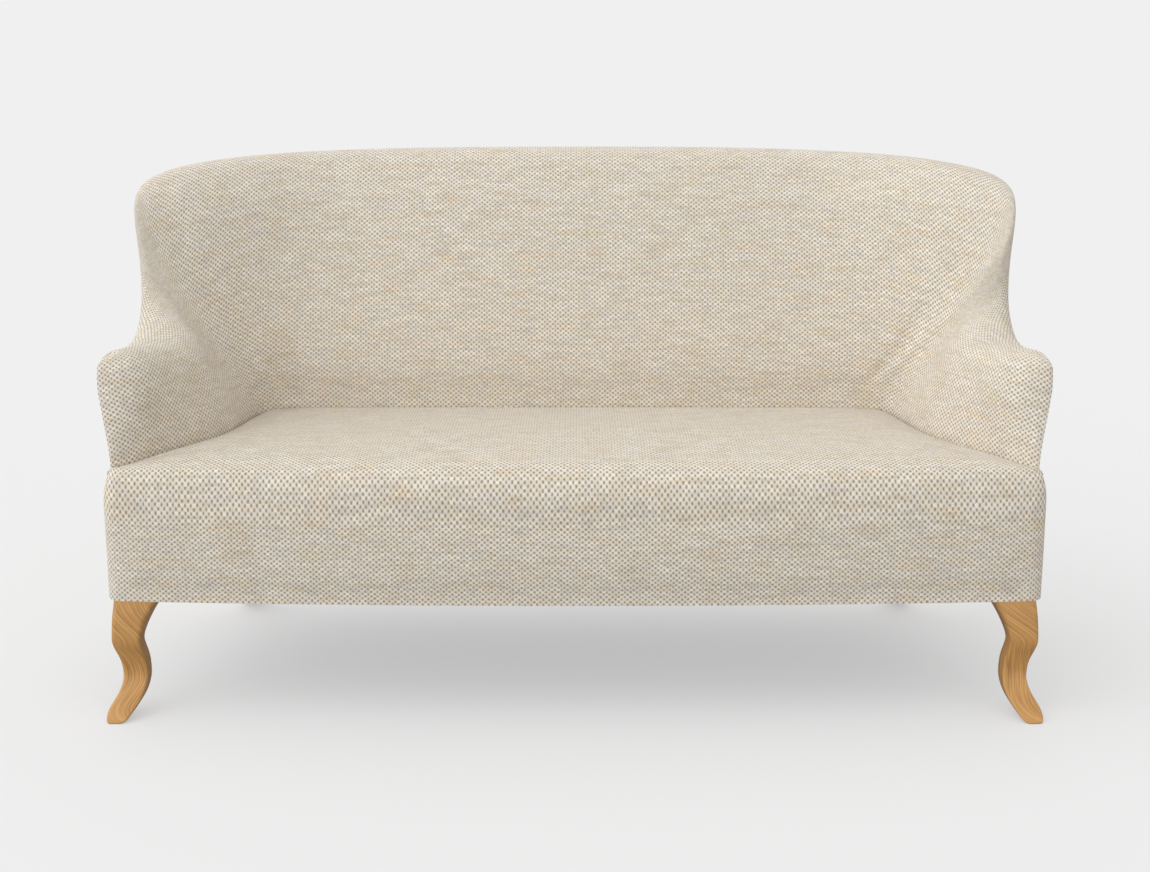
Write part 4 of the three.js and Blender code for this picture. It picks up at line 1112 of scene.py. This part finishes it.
# The seam between arm and back low down, and the short fold at the top corner of the arm's front
CREASES = (
    Crease(((7.45, 1.4), (7.45, 1.8), (7.4, 2.2), (7.3, 2.6)), 3.0, 12.0),
    Crease(((13.1, 6.2), (12.5, 6.5), (11.9, 6.3)), 4.0, 6.0),
)


@dataclass
class InnerShell:
    """Inner back with its wings, and the two arms: each a cloth cover over its own foam."""

    shell: ShellSurface
    cover: bpy.types.Material
    foam: bpy.types.Material
    spacing: float = 7.0
    back_foam_columns: int = 121
    arm_foam_columns: int = 51
    stuffing: Stuffing = Stuffing()

    def foam_depth(self, a: Array, b: Array) -> Array:
        """Depth of the foam's under side: 43 mm on the seat side, thin over the crest, at the
        arm's front and behind the seam between arm and back.

        Args:
            a: stations.
            b: rows.

        Returns:
            Depth in millimetres.
        """
        build = self.shell.build
        off_ridge = smooth_step(abs(abs(a) - CORNER_STATION), 0.3, 1.8)
        thin = np.maximum(smooth_step(b, 3.6, 5.6), smooth_step(abs(a), 10.6, FOAM_END_STATION))
        thin = np.maximum(thin, (1 - off_ridge) * smooth_step(b, 1.7, 3.7))
        return build.skin + build.back_foam + (build.edge_foam - build.back_foam) * thin

    def relief(self, a: Array, b: Array) -> Array:
        """Height of the cover over its plain surface: soft creases, and long low waves of the
        stuffing that fade out towards the tuck and the rim.

        Args:
            a: stations.
            b: rows.

        Returns:
            Height in millimetres.
        """
        waves = 0.5 * np.sin(1.9 * a + 2.3 * b) * np.sin(2.7 * b - 0.8 * a)
        height = waves * smooth_step(b, 2.2, 3.0) * (1 - smooth_step(b, 6.5, 7.5))
        points = self.shell.inner(a, b)
        for crease in CREASES:
            height = height - crease.sink(self.shell, points)
        return height

    def grids(self, first: Array, last: Array, middle: float, columns_from: float,
              columns_to: float) -> tuple[Array, Array]:
        """Stations and rows of a cover, evenly spaced, with its two ends set for each row.

        Args:
            first: first station of each row.
            last: last station of each row.
            middle: station whose length sets the rows.
            columns_from: first station, for the spacing of the columns.
            columns_to: last station, for the spacing of the columns.

        Returns:
            Grid of stations and grid of rows.
        """
        rows = self.rows(middle)
        places = evenly(lambda a: self.shell.inner(a, np.full_like(a, 5.0)),
                        columns_from, columns_to, self.spacing)
        share = ((places - places[0]) / (places[-1] - places[0]))[:, None]
        a = first[None, :] + (last - first)[None, :] * share
        return a, np.broadcast_to(rows, a.shape)

    def rows(self, middle: float) -> Array:
        """Rows evenly spaced along one station, from the hidden tuck to the rim."""
        return evenly(lambda b: self.shell.inner(np.full_like(b, middle), b),
                      FIRST_ROW, LAST_ROW, self.spacing)

    def covered(self, name: str, nodes: tuple[str, str], a: Array, b: Array,
                foam_a: Array, foam_b: Array) -> None:
        """Builds one cover and the foam under it.

        Args:
            name: name of the cover; the foam adds a word to it.
            nodes: CAD nodes of the cover and of the foam.
            a: stations of the cover.
            b: rows of the cover.
            foam_a: stations of the foam.
            foam_b: rows of the foam.
        """
        shell, build = self.shell, self.shell.build
        plain, normals = shell.inner(a, b), outward(shell.inner, a, b)
        # The cloth is held near the tuck and the rim, and within 40 mm of its two ends
        sewn = 1 - smooth_step(b, 1.9, 2.6) * (1 - smooth_step(b, 7.0, 7.8))
        ends = np.minimum(run_along(plain, 0), run_along(plain[::-1], 0)[::-1])
        sewn = np.maximum(sewn, 1 - smooth_step(ends, 5, 40))
        coarse = self.stuffing.swell(plain[::2, ::2], normals[::2, ::2], sewn[::2, ::2])
        swell = upsampled(coarse, *a.shape) * (1 - sewn)
        skin = plain + normals * (self.relief(a, b) + swell)[..., None]
        start = int(np.argmin(abs(b[0] - 2.0)))
        # The weave is measured from the middle of the back and from the front edge of an arm
        spans_back = a[0, 0] < 0 < a[-1, 0]
        middle = a.shape[0] // 2 if spans_back else int(np.argmax(abs(a[:, 0])))
        across, up = run_along(skin, 0), run_along(skin, 1)
        across = across - across[middle]
        flat = np.stack([across, up - up[:, start:start + 1]], axis=-1)
        cover = slab(name, skin, skin - normals * build.cloth, flat, self.cover)
        join_frame(cover, "cover_cloth", nodes[0])
        under = shell.inner(foam_a, foam_b)
        inward = outward(shell.inner, foam_a, foam_b)
        proud = self.relief(foam_a, foam_b)
        foam_flat = np.stack([run_along(under, 0), run_along(under, 1)], axis=-1)
        pad = slab(name + "_foam", under + inward * (proud - build.skin)[..., None],
                   under - inward * self.foam_depth(foam_a, foam_b)[..., None],
                   foam_flat, self.foam)
        join_frame(pad, "foam", nodes[1])

    def make_back(self) -> None:
        """Inner back from seam to seam, wings included."""
        rows = self.rows(0.0)
        edge = CORNER_STATION - self.shell.corner_station(rows, self.shell.build.corner_gap)
        a, b = self.grids(-edge, edge, 0.0, -CORNER_STATION, CORNER_STATION)
        foam_rows = rows[::3] if (len(rows) - 1) % 3 == 0 else rows[::2]
        gap = self.shell.build.foam_seam_gap
        inner = CORNER_STATION - self.shell.corner_station(foam_rows, gap)
        foam_a = np.linspace(-1, 1, self.back_foam_columns)[:, None] * inner
        self.covered("inner_back_upholstery", ("back_cover", "back_foam"), a, b,
                     foam_a, np.broadcast_to(foam_rows, foam_a.shape))

    def make_arm(self, side: Side) -> None:
        """One arm from the seam at the inner back to its front edge.

        Args:
            side: which arm.
        """
        sign, word = side.value, side.name.lower()
        rows = self.rows(ARM_STATION)
        near = CORNER_STATION + self.shell.corner_station(rows, self.shell.build.corner_gap)
        far = np.full_like(rows, LAST_STATION)
        a, b = self.grids(sign * near, sign * far, ARM_STATION,
                          sign * CORNER_STATION, sign * LAST_STATION)
        foam_rows = rows[::2]
        seam = CORNER_STATION + self.shell.corner_station(foam_rows, self.shell.build.foam_seam_gap)
        share = np.linspace(0, 1, self.arm_foam_columns)[:, None]
        foam_a = sign * (seam + (FOAM_END_STATION - seam) * share)
        if side is Side.LEFT:
            a, b, foam_a = a[::-1], b[::-1], foam_a[::-1]
        self.covered(f"arm_upholstery_{word}", (f"arm_cover_{word}", f"arm_foam_{word}"), a, b,
                     foam_a, np.broadcast_to(foam_rows, foam_a.shape))


@dataclass
class Seat:
    """Fixed T-shaped seat: cover, foam block, padding over the front rail and hessian."""

    surface: SeatSurface
    cover: bpy.types.Material
    foam: bpy.types.Material
    hessian: bpy.types.Material
    spacing: float = 7.0
    foam_half: float = 0.955
    hessian_half: float = 0.95
    padding_gap: float = 0.3
    roll_stretch: float = 1.6
    stuffing: Stuffing = Stuffing()

    def columns(self) -> Array:
        """Places along the front face, evenly spaced round its corners too."""
        return evenly(lambda u: self.surface.point(u, np.full_like(u, 0.5)), -1, 1, self.spacing)

    def rows(self) -> Array:
        """Places up the front, over the roll and back along the middle of the top."""
        return evenly(lambda v: self.surface.point(np.zeros_like(v), v), 0, 3, self.spacing)

    def make(self) -> None:
        """Builds the four layers of the seat from the top down."""
        surface, build = self.surface, self.surface.build
        u, v = np.meshgrid(self.columns(), self.rows(), indexing="ij")
        plain, normals = surface.point(u, v), outward(surface.point, u, v)
        # The cloth is free to swell away from the bottom edge, the rear seam and the two ears
        from_front, from_rear = smooth_step(v, 0, 0.25), 1 - smooth_step(v, 2.86, 2.99)
        from_ends = 1 - smooth_step(abs(u), 0.93, 0.985)
        loose = from_front * from_rear * from_ends
        coarse = self.stuffing.swell(plain[::2, ::2], normals[::2, ::2], 1 - loose[::2, ::2])
        swell = upsampled(coarse, *u.shape) * loose
        waves = 0.5 * np.sin(5.3 * u + 1.7 * v) * np.sin(2.9 * v + 3.1 * u) * loose
        skin = plain + normals * (swell + waves)[..., None]
        # The cloth is pulled over the front roll, so its rows stand 1.6 times as far apart there
        pulled = smooth_step(v, 0.78, 0.98) * (1 - smooth_step(v, 1.45, 1.9))
        steps = np.diff(run_along(skin, 1), axis=1) / (1 + (self.roll_stretch - 1) * pulled[:, 1:])
        up = np.cumsum(np.pad(steps, ((0, 0), (1, 0))), axis=1)
        across = run_along(skin, 0)
        flat = np.stack([across - across[u.shape[0] // 2], up], axis=-1)
        cover = slab("seat_upholstery", skin, skin - normals * build.cloth, flat, self.cover)
        join_frame(cover, "cover_cloth", "seat_cover")
        self.make_foam(u, v, skin, normals)
        self.make_padding()
        self.make_hessian()

    def make_foam(self, u: Array, v: Array, skin: Array, normals: Array) -> None:
        """Foam block: crowned like the cover, flat on the hessian.

        Args:
            u: grid of places along the front.
            v: grid of places from front to back.
            skin: grid of the cover's points.
            normals: outward directions of the cover.
        """
        build = self.surface.build
        first, last = (int(np.argmax(u[:, 0] > end)) for end in (-self.foam_half, self.foam_half))
        keep = (slice(first, last, 2), slice(int(np.argmax(v[0] > 1.0)), None, 2))
        upper = (skin - normals * build.skin)[keep]
        lower = upper.copy()
        lower[..., 2] = build.deck
        flat = np.stack([run_along(upper, 0), run_along(upper, 1)], axis=-1)
        pad = slab("seat_foam_block", upper, lower, flat, self.foam)
        join_frame(pad, "foam", "seat_foam")

    def make_padding(self) -> None:
        """Padding that rounds the front rail, 20 mm thick behind the cover."""
        build = self.surface.build
        wall = build.front_wall_top - build.base_level
        top = (build.hessian_low - self.padding_gap - build.base_level) / wall
        u, v = np.meshgrid(np.linspace(-self.foam_half, self.foam_half, 181),
                           np.linspace(0, top, 19), indexing="ij")
        points, normals = self.surface.point(u, v), outward(self.surface.point, u, v)
        flat = np.stack([run_along(points, 0), run_along(points, 1)], axis=-1)
        pad = slab("front_rail_padding", points - normals * build.skin,
                   points - normals * (build.skin + build.front_padding), flat, self.foam)
        join_frame(pad, "foam", "front_padding")

    def make_hessian(self) -> None:
        """Hessian stretched flat over the springs, almost as wide as the foam on it."""
        build = self.surface.build
        u, v = np.meshgrid(np.linspace(-self.hessian_half, self.hessian_half, 121),
                           np.linspace(1.0, 2.99, 41), indexing="ij")
        plan = self.surface.point(u, v) - outward(self.surface.point, u, v) * build.skin
        upper, lower = plan.copy(), plan.copy()
        upper[..., 2], lower[..., 2] = build.hessian_low + build.hessian, build.hessian_low
        sheet = slab("seat_hessian_cloth", upper, lower, upper[..., :2], self.hessian)
        join_frame(sheet, "hessian", "seat_hessian")


@dataclass
class OuterCovers:
    """Outer back and outer sides: cloth panels sewn to the rim and running down to the bottom edge.
    """

    shell: ShellSurface
    cover: bpy.types.Material
    spacing: float = 8.0
    lip_depth: float = 1.7
    lip_reach: float = 6.5
    seam_half: float = 0.008

    def panel(self, name: str, node: str, first: float, last: float) -> None:
        """Builds one panel between two stations, its front edge under the arm cover's lip.

        Args:
            name: the piece's name.
            node: the CAD node that it stands for.
            first: first station.
            last: last station.
        """
        shell, build = self.shell, self.shell.build
        places = evenly(lambda a: shell.outer(a, np.full_like(a, 0.4)), first, last, self.spacing)
        step = 0.002
        way = unit(shell.outer(places + step, 0.0) - shell.outer(places - step, 0.0))
        down = shell.outer(places, step) - shell.outer(places, 0.0)
        start = build.rim_gap * step / np.linalg.norm(np.cross(down, way), axis=-1)
        share = np.linspace(0, 1, 2 * round(700 / self.spacing / 2) + 1)
        a = np.broadcast_to(places[:, None], (len(places), len(share)))
        t = start[:, None] + (1 - start[:, None]) * share
        points, normals = shell.outer(a, t), outward(shell.outer, a, t)
        sink = self.lip_depth * smooth_step(abs(a), 12.0, FRONT_STATION)
        skin = points - normals * sink[..., None]
        skin[..., 2] = points[..., 2]
        # Down to the seat the front edge reaches further forward, so that the lip covers it
        reach = smooth_step(abs(a), 12.5, FRONT_STATION) * (1 - smooth_step(t, 0.46, 0.53))
        skin[..., 1] -= self.lip_reach * reach
        across, fall = run_along(skin, 0), run_along(skin, 1)
        flat = np.stack([across - across[len(places) // 2], -fall], axis=-1)
        under = skin - normals * build.cloth
        under[..., 2] = skin[..., 2]
        sheet = slab(name, skin, under, flat, self.cover)
        join_frame(sheet, "cover_cloth", node)

    def make(self) -> None:
        """Builds the back panel and the two side panels."""
        half, start = SIDE_SEAM_STATION - self.seam_half, SIDE_SEAM_STATION + self.seam_half
        self.panel("outer_back_panel", "outer_back", -half, half)
        self.panel("outer_side_panel_right", "outer_side_right", start, FRONT_STATION)
        self.panel("outer_side_panel_left", "outer_side_left", -FRONT_STATION, -start)


@dataclass
class CurvedLegs:
    """Four oak legs with flat faces and rounded corners, curved like a long S."""

    oak: bpy.types.Material
    width: float = 81.0
    depth: float = 75.0
    front: tuple[float, float] = (795.0, 62.0)
    rear: tuple[float, float] = (694.0, 605.0)
    front_bolt: tuple[float, float] = (786.0, 79.5)
    rear_bolt: tuple[float, float] = (690.0, 592.0)
    bore_radius: float = 4.3
    bore_depth: float = 26.0
    corner: float = 0.34
    rings: int = 72
    corner_points: int = 9

    def ring(self, side: Side, place: tuple[float, float], facing: int, kick: float) -> Array:
        """Rings of one leg from its sole to its top.

        Each ring is a rectangle with quarter circle corners; its middle and size come from a
        spline through the table of stations.

        Args:
            side: left or right.
            place: where the leg's top is centred.
            facing: -1 where the sole reaches to the front, 1 where it reaches back.
            kick: factor of the reach.

        Returns:
            Points by ring and by place round the ring.
        """
        places = np.linspace(0, len(LEG) - 1, self.rings)[::-1]
        rise, out, wide, forward, deep = natural_spline(np.array(LEG, float))(places).T
        half_x, half_y = self.width * wide / 2, self.depth * deep / 2
        middle_x = side.value * (place[0] + self.width * out)
        face = place[1] + facing * (self.depth / 2 + self.depth * forward * kick)
        middle_y = face - facing * half_y
        radius = np.minimum(half_x, half_y) * self.corner
        turn = np.linspace(0, math.pi / 2, self.corner_points)
        angles = (np.arange(4)[:, None] * math.pi / 2 + turn).ravel()
        sign_x = np.repeat([1, -1, -1, 1], self.corner_points)
        sign_y = np.repeat([1, 1, -1, -1], self.corner_points)
        round_x, round_y = radius[:, None] * np.cos(angles), radius[:, None] * np.sin(angles)
        x = middle_x[:, None] + sign_x * (half_x - radius)[:, None] + round_x
        y = middle_y[:, None] + sign_y * (half_y - radius)[:, None] + round_y
        z = np.broadcast_to((BUILD.leg_height * np.clip(rise, 0, 1))[:, None], x.shape)
        return np.stack([x, y, z], axis=-1)

    def leg(self, name: str, node: str, side: Side, place: tuple[float, float],
            bolt: tuple[float, float], facing: int, kick: float) -> None:
        """Builds one leg with its bolt bore.

        Args:
            name: the piece's name.
            node: the CAD node that it stands for.
            side: left or right.
            place: where the leg's top is centred.
            bolt: where the bore is.
            facing: -1 for a front leg, 1 for a rear one.
            kick: factor of the reach of the sole.
        """
        rings = self.ring(side, place, facing, kick)
        centre = np.array([side.value * bolt[0], bolt[1], BUILD.leg_height])
        way = unit((rings[-1] - centre) * np.array([1, 1, 0]))
        mouth = centre + way * self.bore_radius
        floor = mouth - np.array([0, 0, self.bore_depth])
        sole = np.broadcast_to(rings[0].mean(0), rings[0].shape)
        end = np.broadcast_to(centre - np.array([0, 0, self.bore_depth]), mouth.shape)
        stack = np.concatenate([sole[None], rings, mouth[None], floor[None], end[None]])
        count, around = stack.shape[:2]
        closed = np.concatenate([stack, stack[:, :1]], axis=1)
        around_run = run_along(closed, 1)[:, :-1]
        along = np.broadcast_to(run_along(stack, 0).mean(1)[:, None], around_run.shape)
        flat = np.stack([around_run, along], axis=-1).reshape(-1, 2)
        row = np.arange(count - 1)[:, None] * around
        here = np.arange(around)
        after = (here + 1) % around
        faces = np.stack([row + here, row + after, row + around + after, row + around + here], -1)
        piece = finished(name, stack.reshape(-1, 3), faces.reshape(-1, 4), flat, self.oak, 42.0)
        merge_poles(piece)
        join_frame(piece, "oak", node)

    def make(self) -> None:
        """Builds the four legs."""
        for side in Side:
            word = side.name.lower()
            self.leg(f"oak_leg_front_{word}", f"front_leg_{word}", side, self.front,
                     self.front_bolt, -1, 1.0)
            self.leg(f"oak_leg_rear_{word}", f"rear_leg_{word}", side, self.rear,
                     self.rear_bolt, 1, 1.2)


def merge_poles(piece: bpy.types.Object) -> None:
    """Merges the points that meet in a pole, so that the piece is closed there.

    Args:
        piece: the piece.
    """
    work = bmesh.new()
    work.from_mesh(piece.data)
    bmesh.ops.remove_doubles(work, verts=work.verts, dist=1e-6)
    work.to_mesh(piece.data)
    work.free()


@dataclass
class DustCover:
    """Black bonded cloth tacked under the frame, cut out round the legs and sagging a little."""

    material: bpy.types.Material
    legs: CurvedLegs
    sag: float = 2.0
    leg_gap: float = 0.3
    rear_half: float = 752.0

    def make(self) -> None:
        """Builds the sheet: half its width steps in where a leg stands, and it sags as the
        product of two half sine waves."""
        low, high = (np.array(corner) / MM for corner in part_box("dust_cover"))
        shift = DESIGN_SHIFT / MM
        front, rear = low[1] - shift, high[1] - shift
        legs, gap, wide = self.legs, self.leg_gap, float(high[0])
        notch_front = legs.front[1] + legs.depth / 2 + gap
        notch_rear = legs.rear[1] - legs.depth / 2 - gap
        y = np.concatenate([
            np.linspace(front, notch_front, 7),
            np.linspace(notch_front + 0.05, notch_rear - 0.05, 61),
            np.linspace(notch_rear, rear, 7)])
        notched = [place[0] - legs.width / 2 - gap for place in (legs.front, legs.rear)]
        between = (y - notch_front) / (notch_rear - notch_front)
        half = np.select([y <= notch_front, y >= notch_rear], notched,
                         wide + (self.rear_half - wide) * between)
        x = np.linspace(-1, 1, 121)[:, None] * half
        rows = np.broadcast_to(y, x.shape)
        depth = (rows - front) / (rear - front)
        top = BUILD.leg_height - self.sag * np.cos(x / wide * math.pi / 2) * np.sin(depth * math.pi)
        upper = np.stack([x, rows, top], axis=-1)
        lower = upper - np.array([0, 0, BUILD.dust_cloth])
        sheet = slab("underside_dust_cloth", upper, lower, upper[..., :2], self.material)
        join_frame(sheet, "dust_cloth", "dust_cover")


@dataclass
class TimberFrame:
    """The carried-over boards, springs, straps and bolts, each dressed as its slot says."""

    beech: PlanedBeech = PlanedBeech()
    upright: tuple[str, ...] = ("post",)
    deep: tuple[str, ...] = (
        "side_rail", "centre_rail", "arm_top_rail", "arm_tack_rail", "wing_rail")

    def grain_of(self, node: str) -> Grain:
        """Way of the fibres in a board.

        Args:
            node: the board's name.

        Returns:
            The way of the fibres.
        """
        if any(word in node for word in self.upright):
            return Grain.UPRIGHT
        return Grain.DEEP if any(node.startswith(word) for word in self.deep) else Grain.ACROSS

    def dress(self, replaced: set[str]) -> None:
        """Gives every carried-over node its finish.

        Args:
            replaced: nodes that a finer piece stands for.
        """
        boards = {grain: self.beech.material(grain) for grain in Grain}
        others = {
            "webbing": RubberWebbing().material(),
            "spring_steel": Steel("drawn_spring_wire", "#8E9094", 0.5, 0.3).material(),
            "bolt_steel": Steel("zinc_plated_steel", "#A9ABAE", 0.42, 0.22).material(),
        }
        for part in frame["record"]["subparts"]:
            name, slot = part["node"], part["material_slot"]
            if name in replaced:
                continue
            node = frame["nodes"][name]
            node.data.materials.clear()
            finish = boards[self.grain_of(name)] if slot == "frame_timber" else others[slot]
            node.data.materials.append(finish)
            log.info("%s dressed as %s", name, finish.name)


@dataclass(frozen=True)
class Studio:
    """Plain pale studio: an endless floor, a sky that is brighter on the left, and two wide soft
    suns, from the upper left and from above the front."""

    background: str = "#F0F0F0"
    floor: str = "#A9A9A9"
    horizon: str = "#FFFFFF"
    zenith: str = "#C6C6C6"
    sky_strength: float = 1.34
    side_tilt: float = 0.38
    side_sun: float = 0.55
    side_turn: tuple[float, float] = (19.0, -50.0)
    front_sun: float = 0.15
    front_turn: tuple[float, float] = (32.0, 0.0)
    sun_width: float = 60.0
    floor_glow: float = 0.5
    floor_half: float = 120.0
    lens: float = 50.0
    sensor: float = 36.0
    camera_place: tuple[float, float, float] = (0.0, -3.097, 1.073)
    camera_tilt: float = 78.6

    def make_floor(self) -> None:
        """A flat matt floor that glows a little for the camera only, so that it looks as pale as
        the background and still keeps the shadow."""
        size = self.floor_half
        mesh = bpy.data.meshes.new("studio_floor")
        corners = [(-size, -size, 0), (size, -size, 0), (size, size, 0), (-size, size, 0)]
        mesh.from_pydata(corners, [], [(0, 1, 2, 3)])
        floor = bpy.data.objects.new("studio_floor", mesh)
        bpy.context.scene.collection.objects.link(floor)
        material, tree, shader = new_material("matt_painted_floor")
        wire(shader, {"Base Color": linear(self.floor), "Roughness": 1.0,
                      "Specular IOR Level": 0.0})
        rays = put(tree, "LightPath")
        part = put(tree, "Math", {0: rays.outputs["Is Camera Ray"], 1: self.floor_glow},
                   operation="MULTIPLY")
        glow = put(tree, "Emission", {"Color": linear(self.background),
                                      "Strength": part.outputs[0]})
        both = put(tree, "AddShader", {0: shader.outputs[0], 1: glow.outputs[0]})
        wire(tree.nodes["Material Output"], {"Surface": both.outputs[0]})
        mesh.materials.append(material)

    def make_light(self) -> None:
        """Sky light for all rays but those that see the background, and two wide suns."""
        world = bpy.data.worlds.new("studio_sky")
        bpy.context.scene.world = world
        world.use_nodes = True
        tree = world.node_tree
        tree.nodes.clear()
        rays = put(tree, "LightPath")
        direct = put(tree, "Math", {0: rays.outputs["Is Camera Ray"],
                                    1: rays.outputs["Is Glossy Ray"]}, operation="MAXIMUM")
        seen = put(tree, "Math", {0: direct.outputs[0],
                                  1: rays.outputs["Is Transmission Ray"]}, operation="MAXIMUM")
        upward = put(tree, "SeparateXYZ", {0: put(tree, "TexCoord").outputs["Generated"]})
        sky = put(tree, "Mix", {0: upward.outputs[2], 6: linear(self.horizon),
                                7: linear(self.zenith)}, data_type="RGBA", clamp_factor=True)
        # The sky is brighter on the left, as beside a large window
        tilt = put(tree, "MapRange", {0: upward.outputs[0], 1: -1.0, 2: 1.0,
                                      3: self.sky_strength * (1 + self.side_tilt),
                                      4: self.sky_strength * (1 - self.side_tilt)}).outputs[0]
        light = put(tree, "Background", {"Color": sky.outputs[2], "Strength": tilt})
        back = put(tree, "Background", {"Color": linear(self.background), "Strength": 1.0})
        both = put(tree, "MixShader", {0: seen.outputs[0], 1: light.outputs[0], 2: back.outputs[0]})
        put(tree, "OutputWorld", {"Surface": both.outputs[0]})
        self.make_sun("side_sun", self.side_sun, self.side_turn)
        self.make_sun("front_sun", self.front_sun, self.front_turn)

    def make_sun(self, name: str, strength: float, turn: tuple[float, float]) -> None:
        """One wide soft sun.

        Args:
            name: name of the lamp.
            strength: its light on a surface that faces it.
            turn: its turns about X and Y, in degrees, from straight down.
        """
        sun = bpy.data.lights.new(name, "SUN")
        sun.energy = strength
        sun.angle = math.radians(self.sun_width)
        lamp = bpy.data.objects.new(name, sun)
        lamp.rotation_euler = (math.radians(turn[0]), math.radians(turn[1]), 0)
        bpy.context.scene.collection.objects.link(lamp)

    def make_camera(self) -> None:
        """A 50 mm camera 1.07 m above the floor, tilted down by 11.4 degrees."""
        data = bpy.data.cameras.new("camera")
        data.lens = self.lens
        data.sensor_width = self.sensor
        data.sensor_fit = "HORIZONTAL"
        camera = bpy.data.objects.new("camera", data)
        camera.location = self.camera_place
        camera.rotation_euler = (math.radians(self.camera_tilt), 0, 0)
        bpy.context.scene.collection.objects.link(camera)
        bpy.context.scene.camera = camera


def main() -> None:
    """Builds the settee from the frame outwards, then the studio."""
    logging.basicConfig(level=logging.INFO, format="%(name)s: %(message)s")
    bpy.context.scene.view_settings.view_transform = "Standard"
    cloth, foam = BasketWeave().material(), OpenFoam().material()
    hessian = PlainWeave("jute_hessian", "#B79C70", "#6F5A3A", 2.4).material()
    dust = PlainWeave("bonded_dust_cloth", "#38383A", "#1E1E20", 1.6).material()
    shell = ShellSurface(BUILD)
    TimberFrame().dress(REPLACED)
    legs = CurvedLegs(HoneyOak().material())
    legs.make()
    DustCover(dust, legs).make()
    Seat(SeatSurface(BUILD, shell), cloth, foam, hessian).make()
    inner = InnerShell(shell, cloth, foam)
    inner.make_back()
    for side in Side:
        inner.make_arm(side)
    OuterCovers(shell, cloth).make()
    studio = Studio()
    studio.make_floor()
    studio.make_light()
    studio.make_camera()


if __name__ == "__main__":
    main()
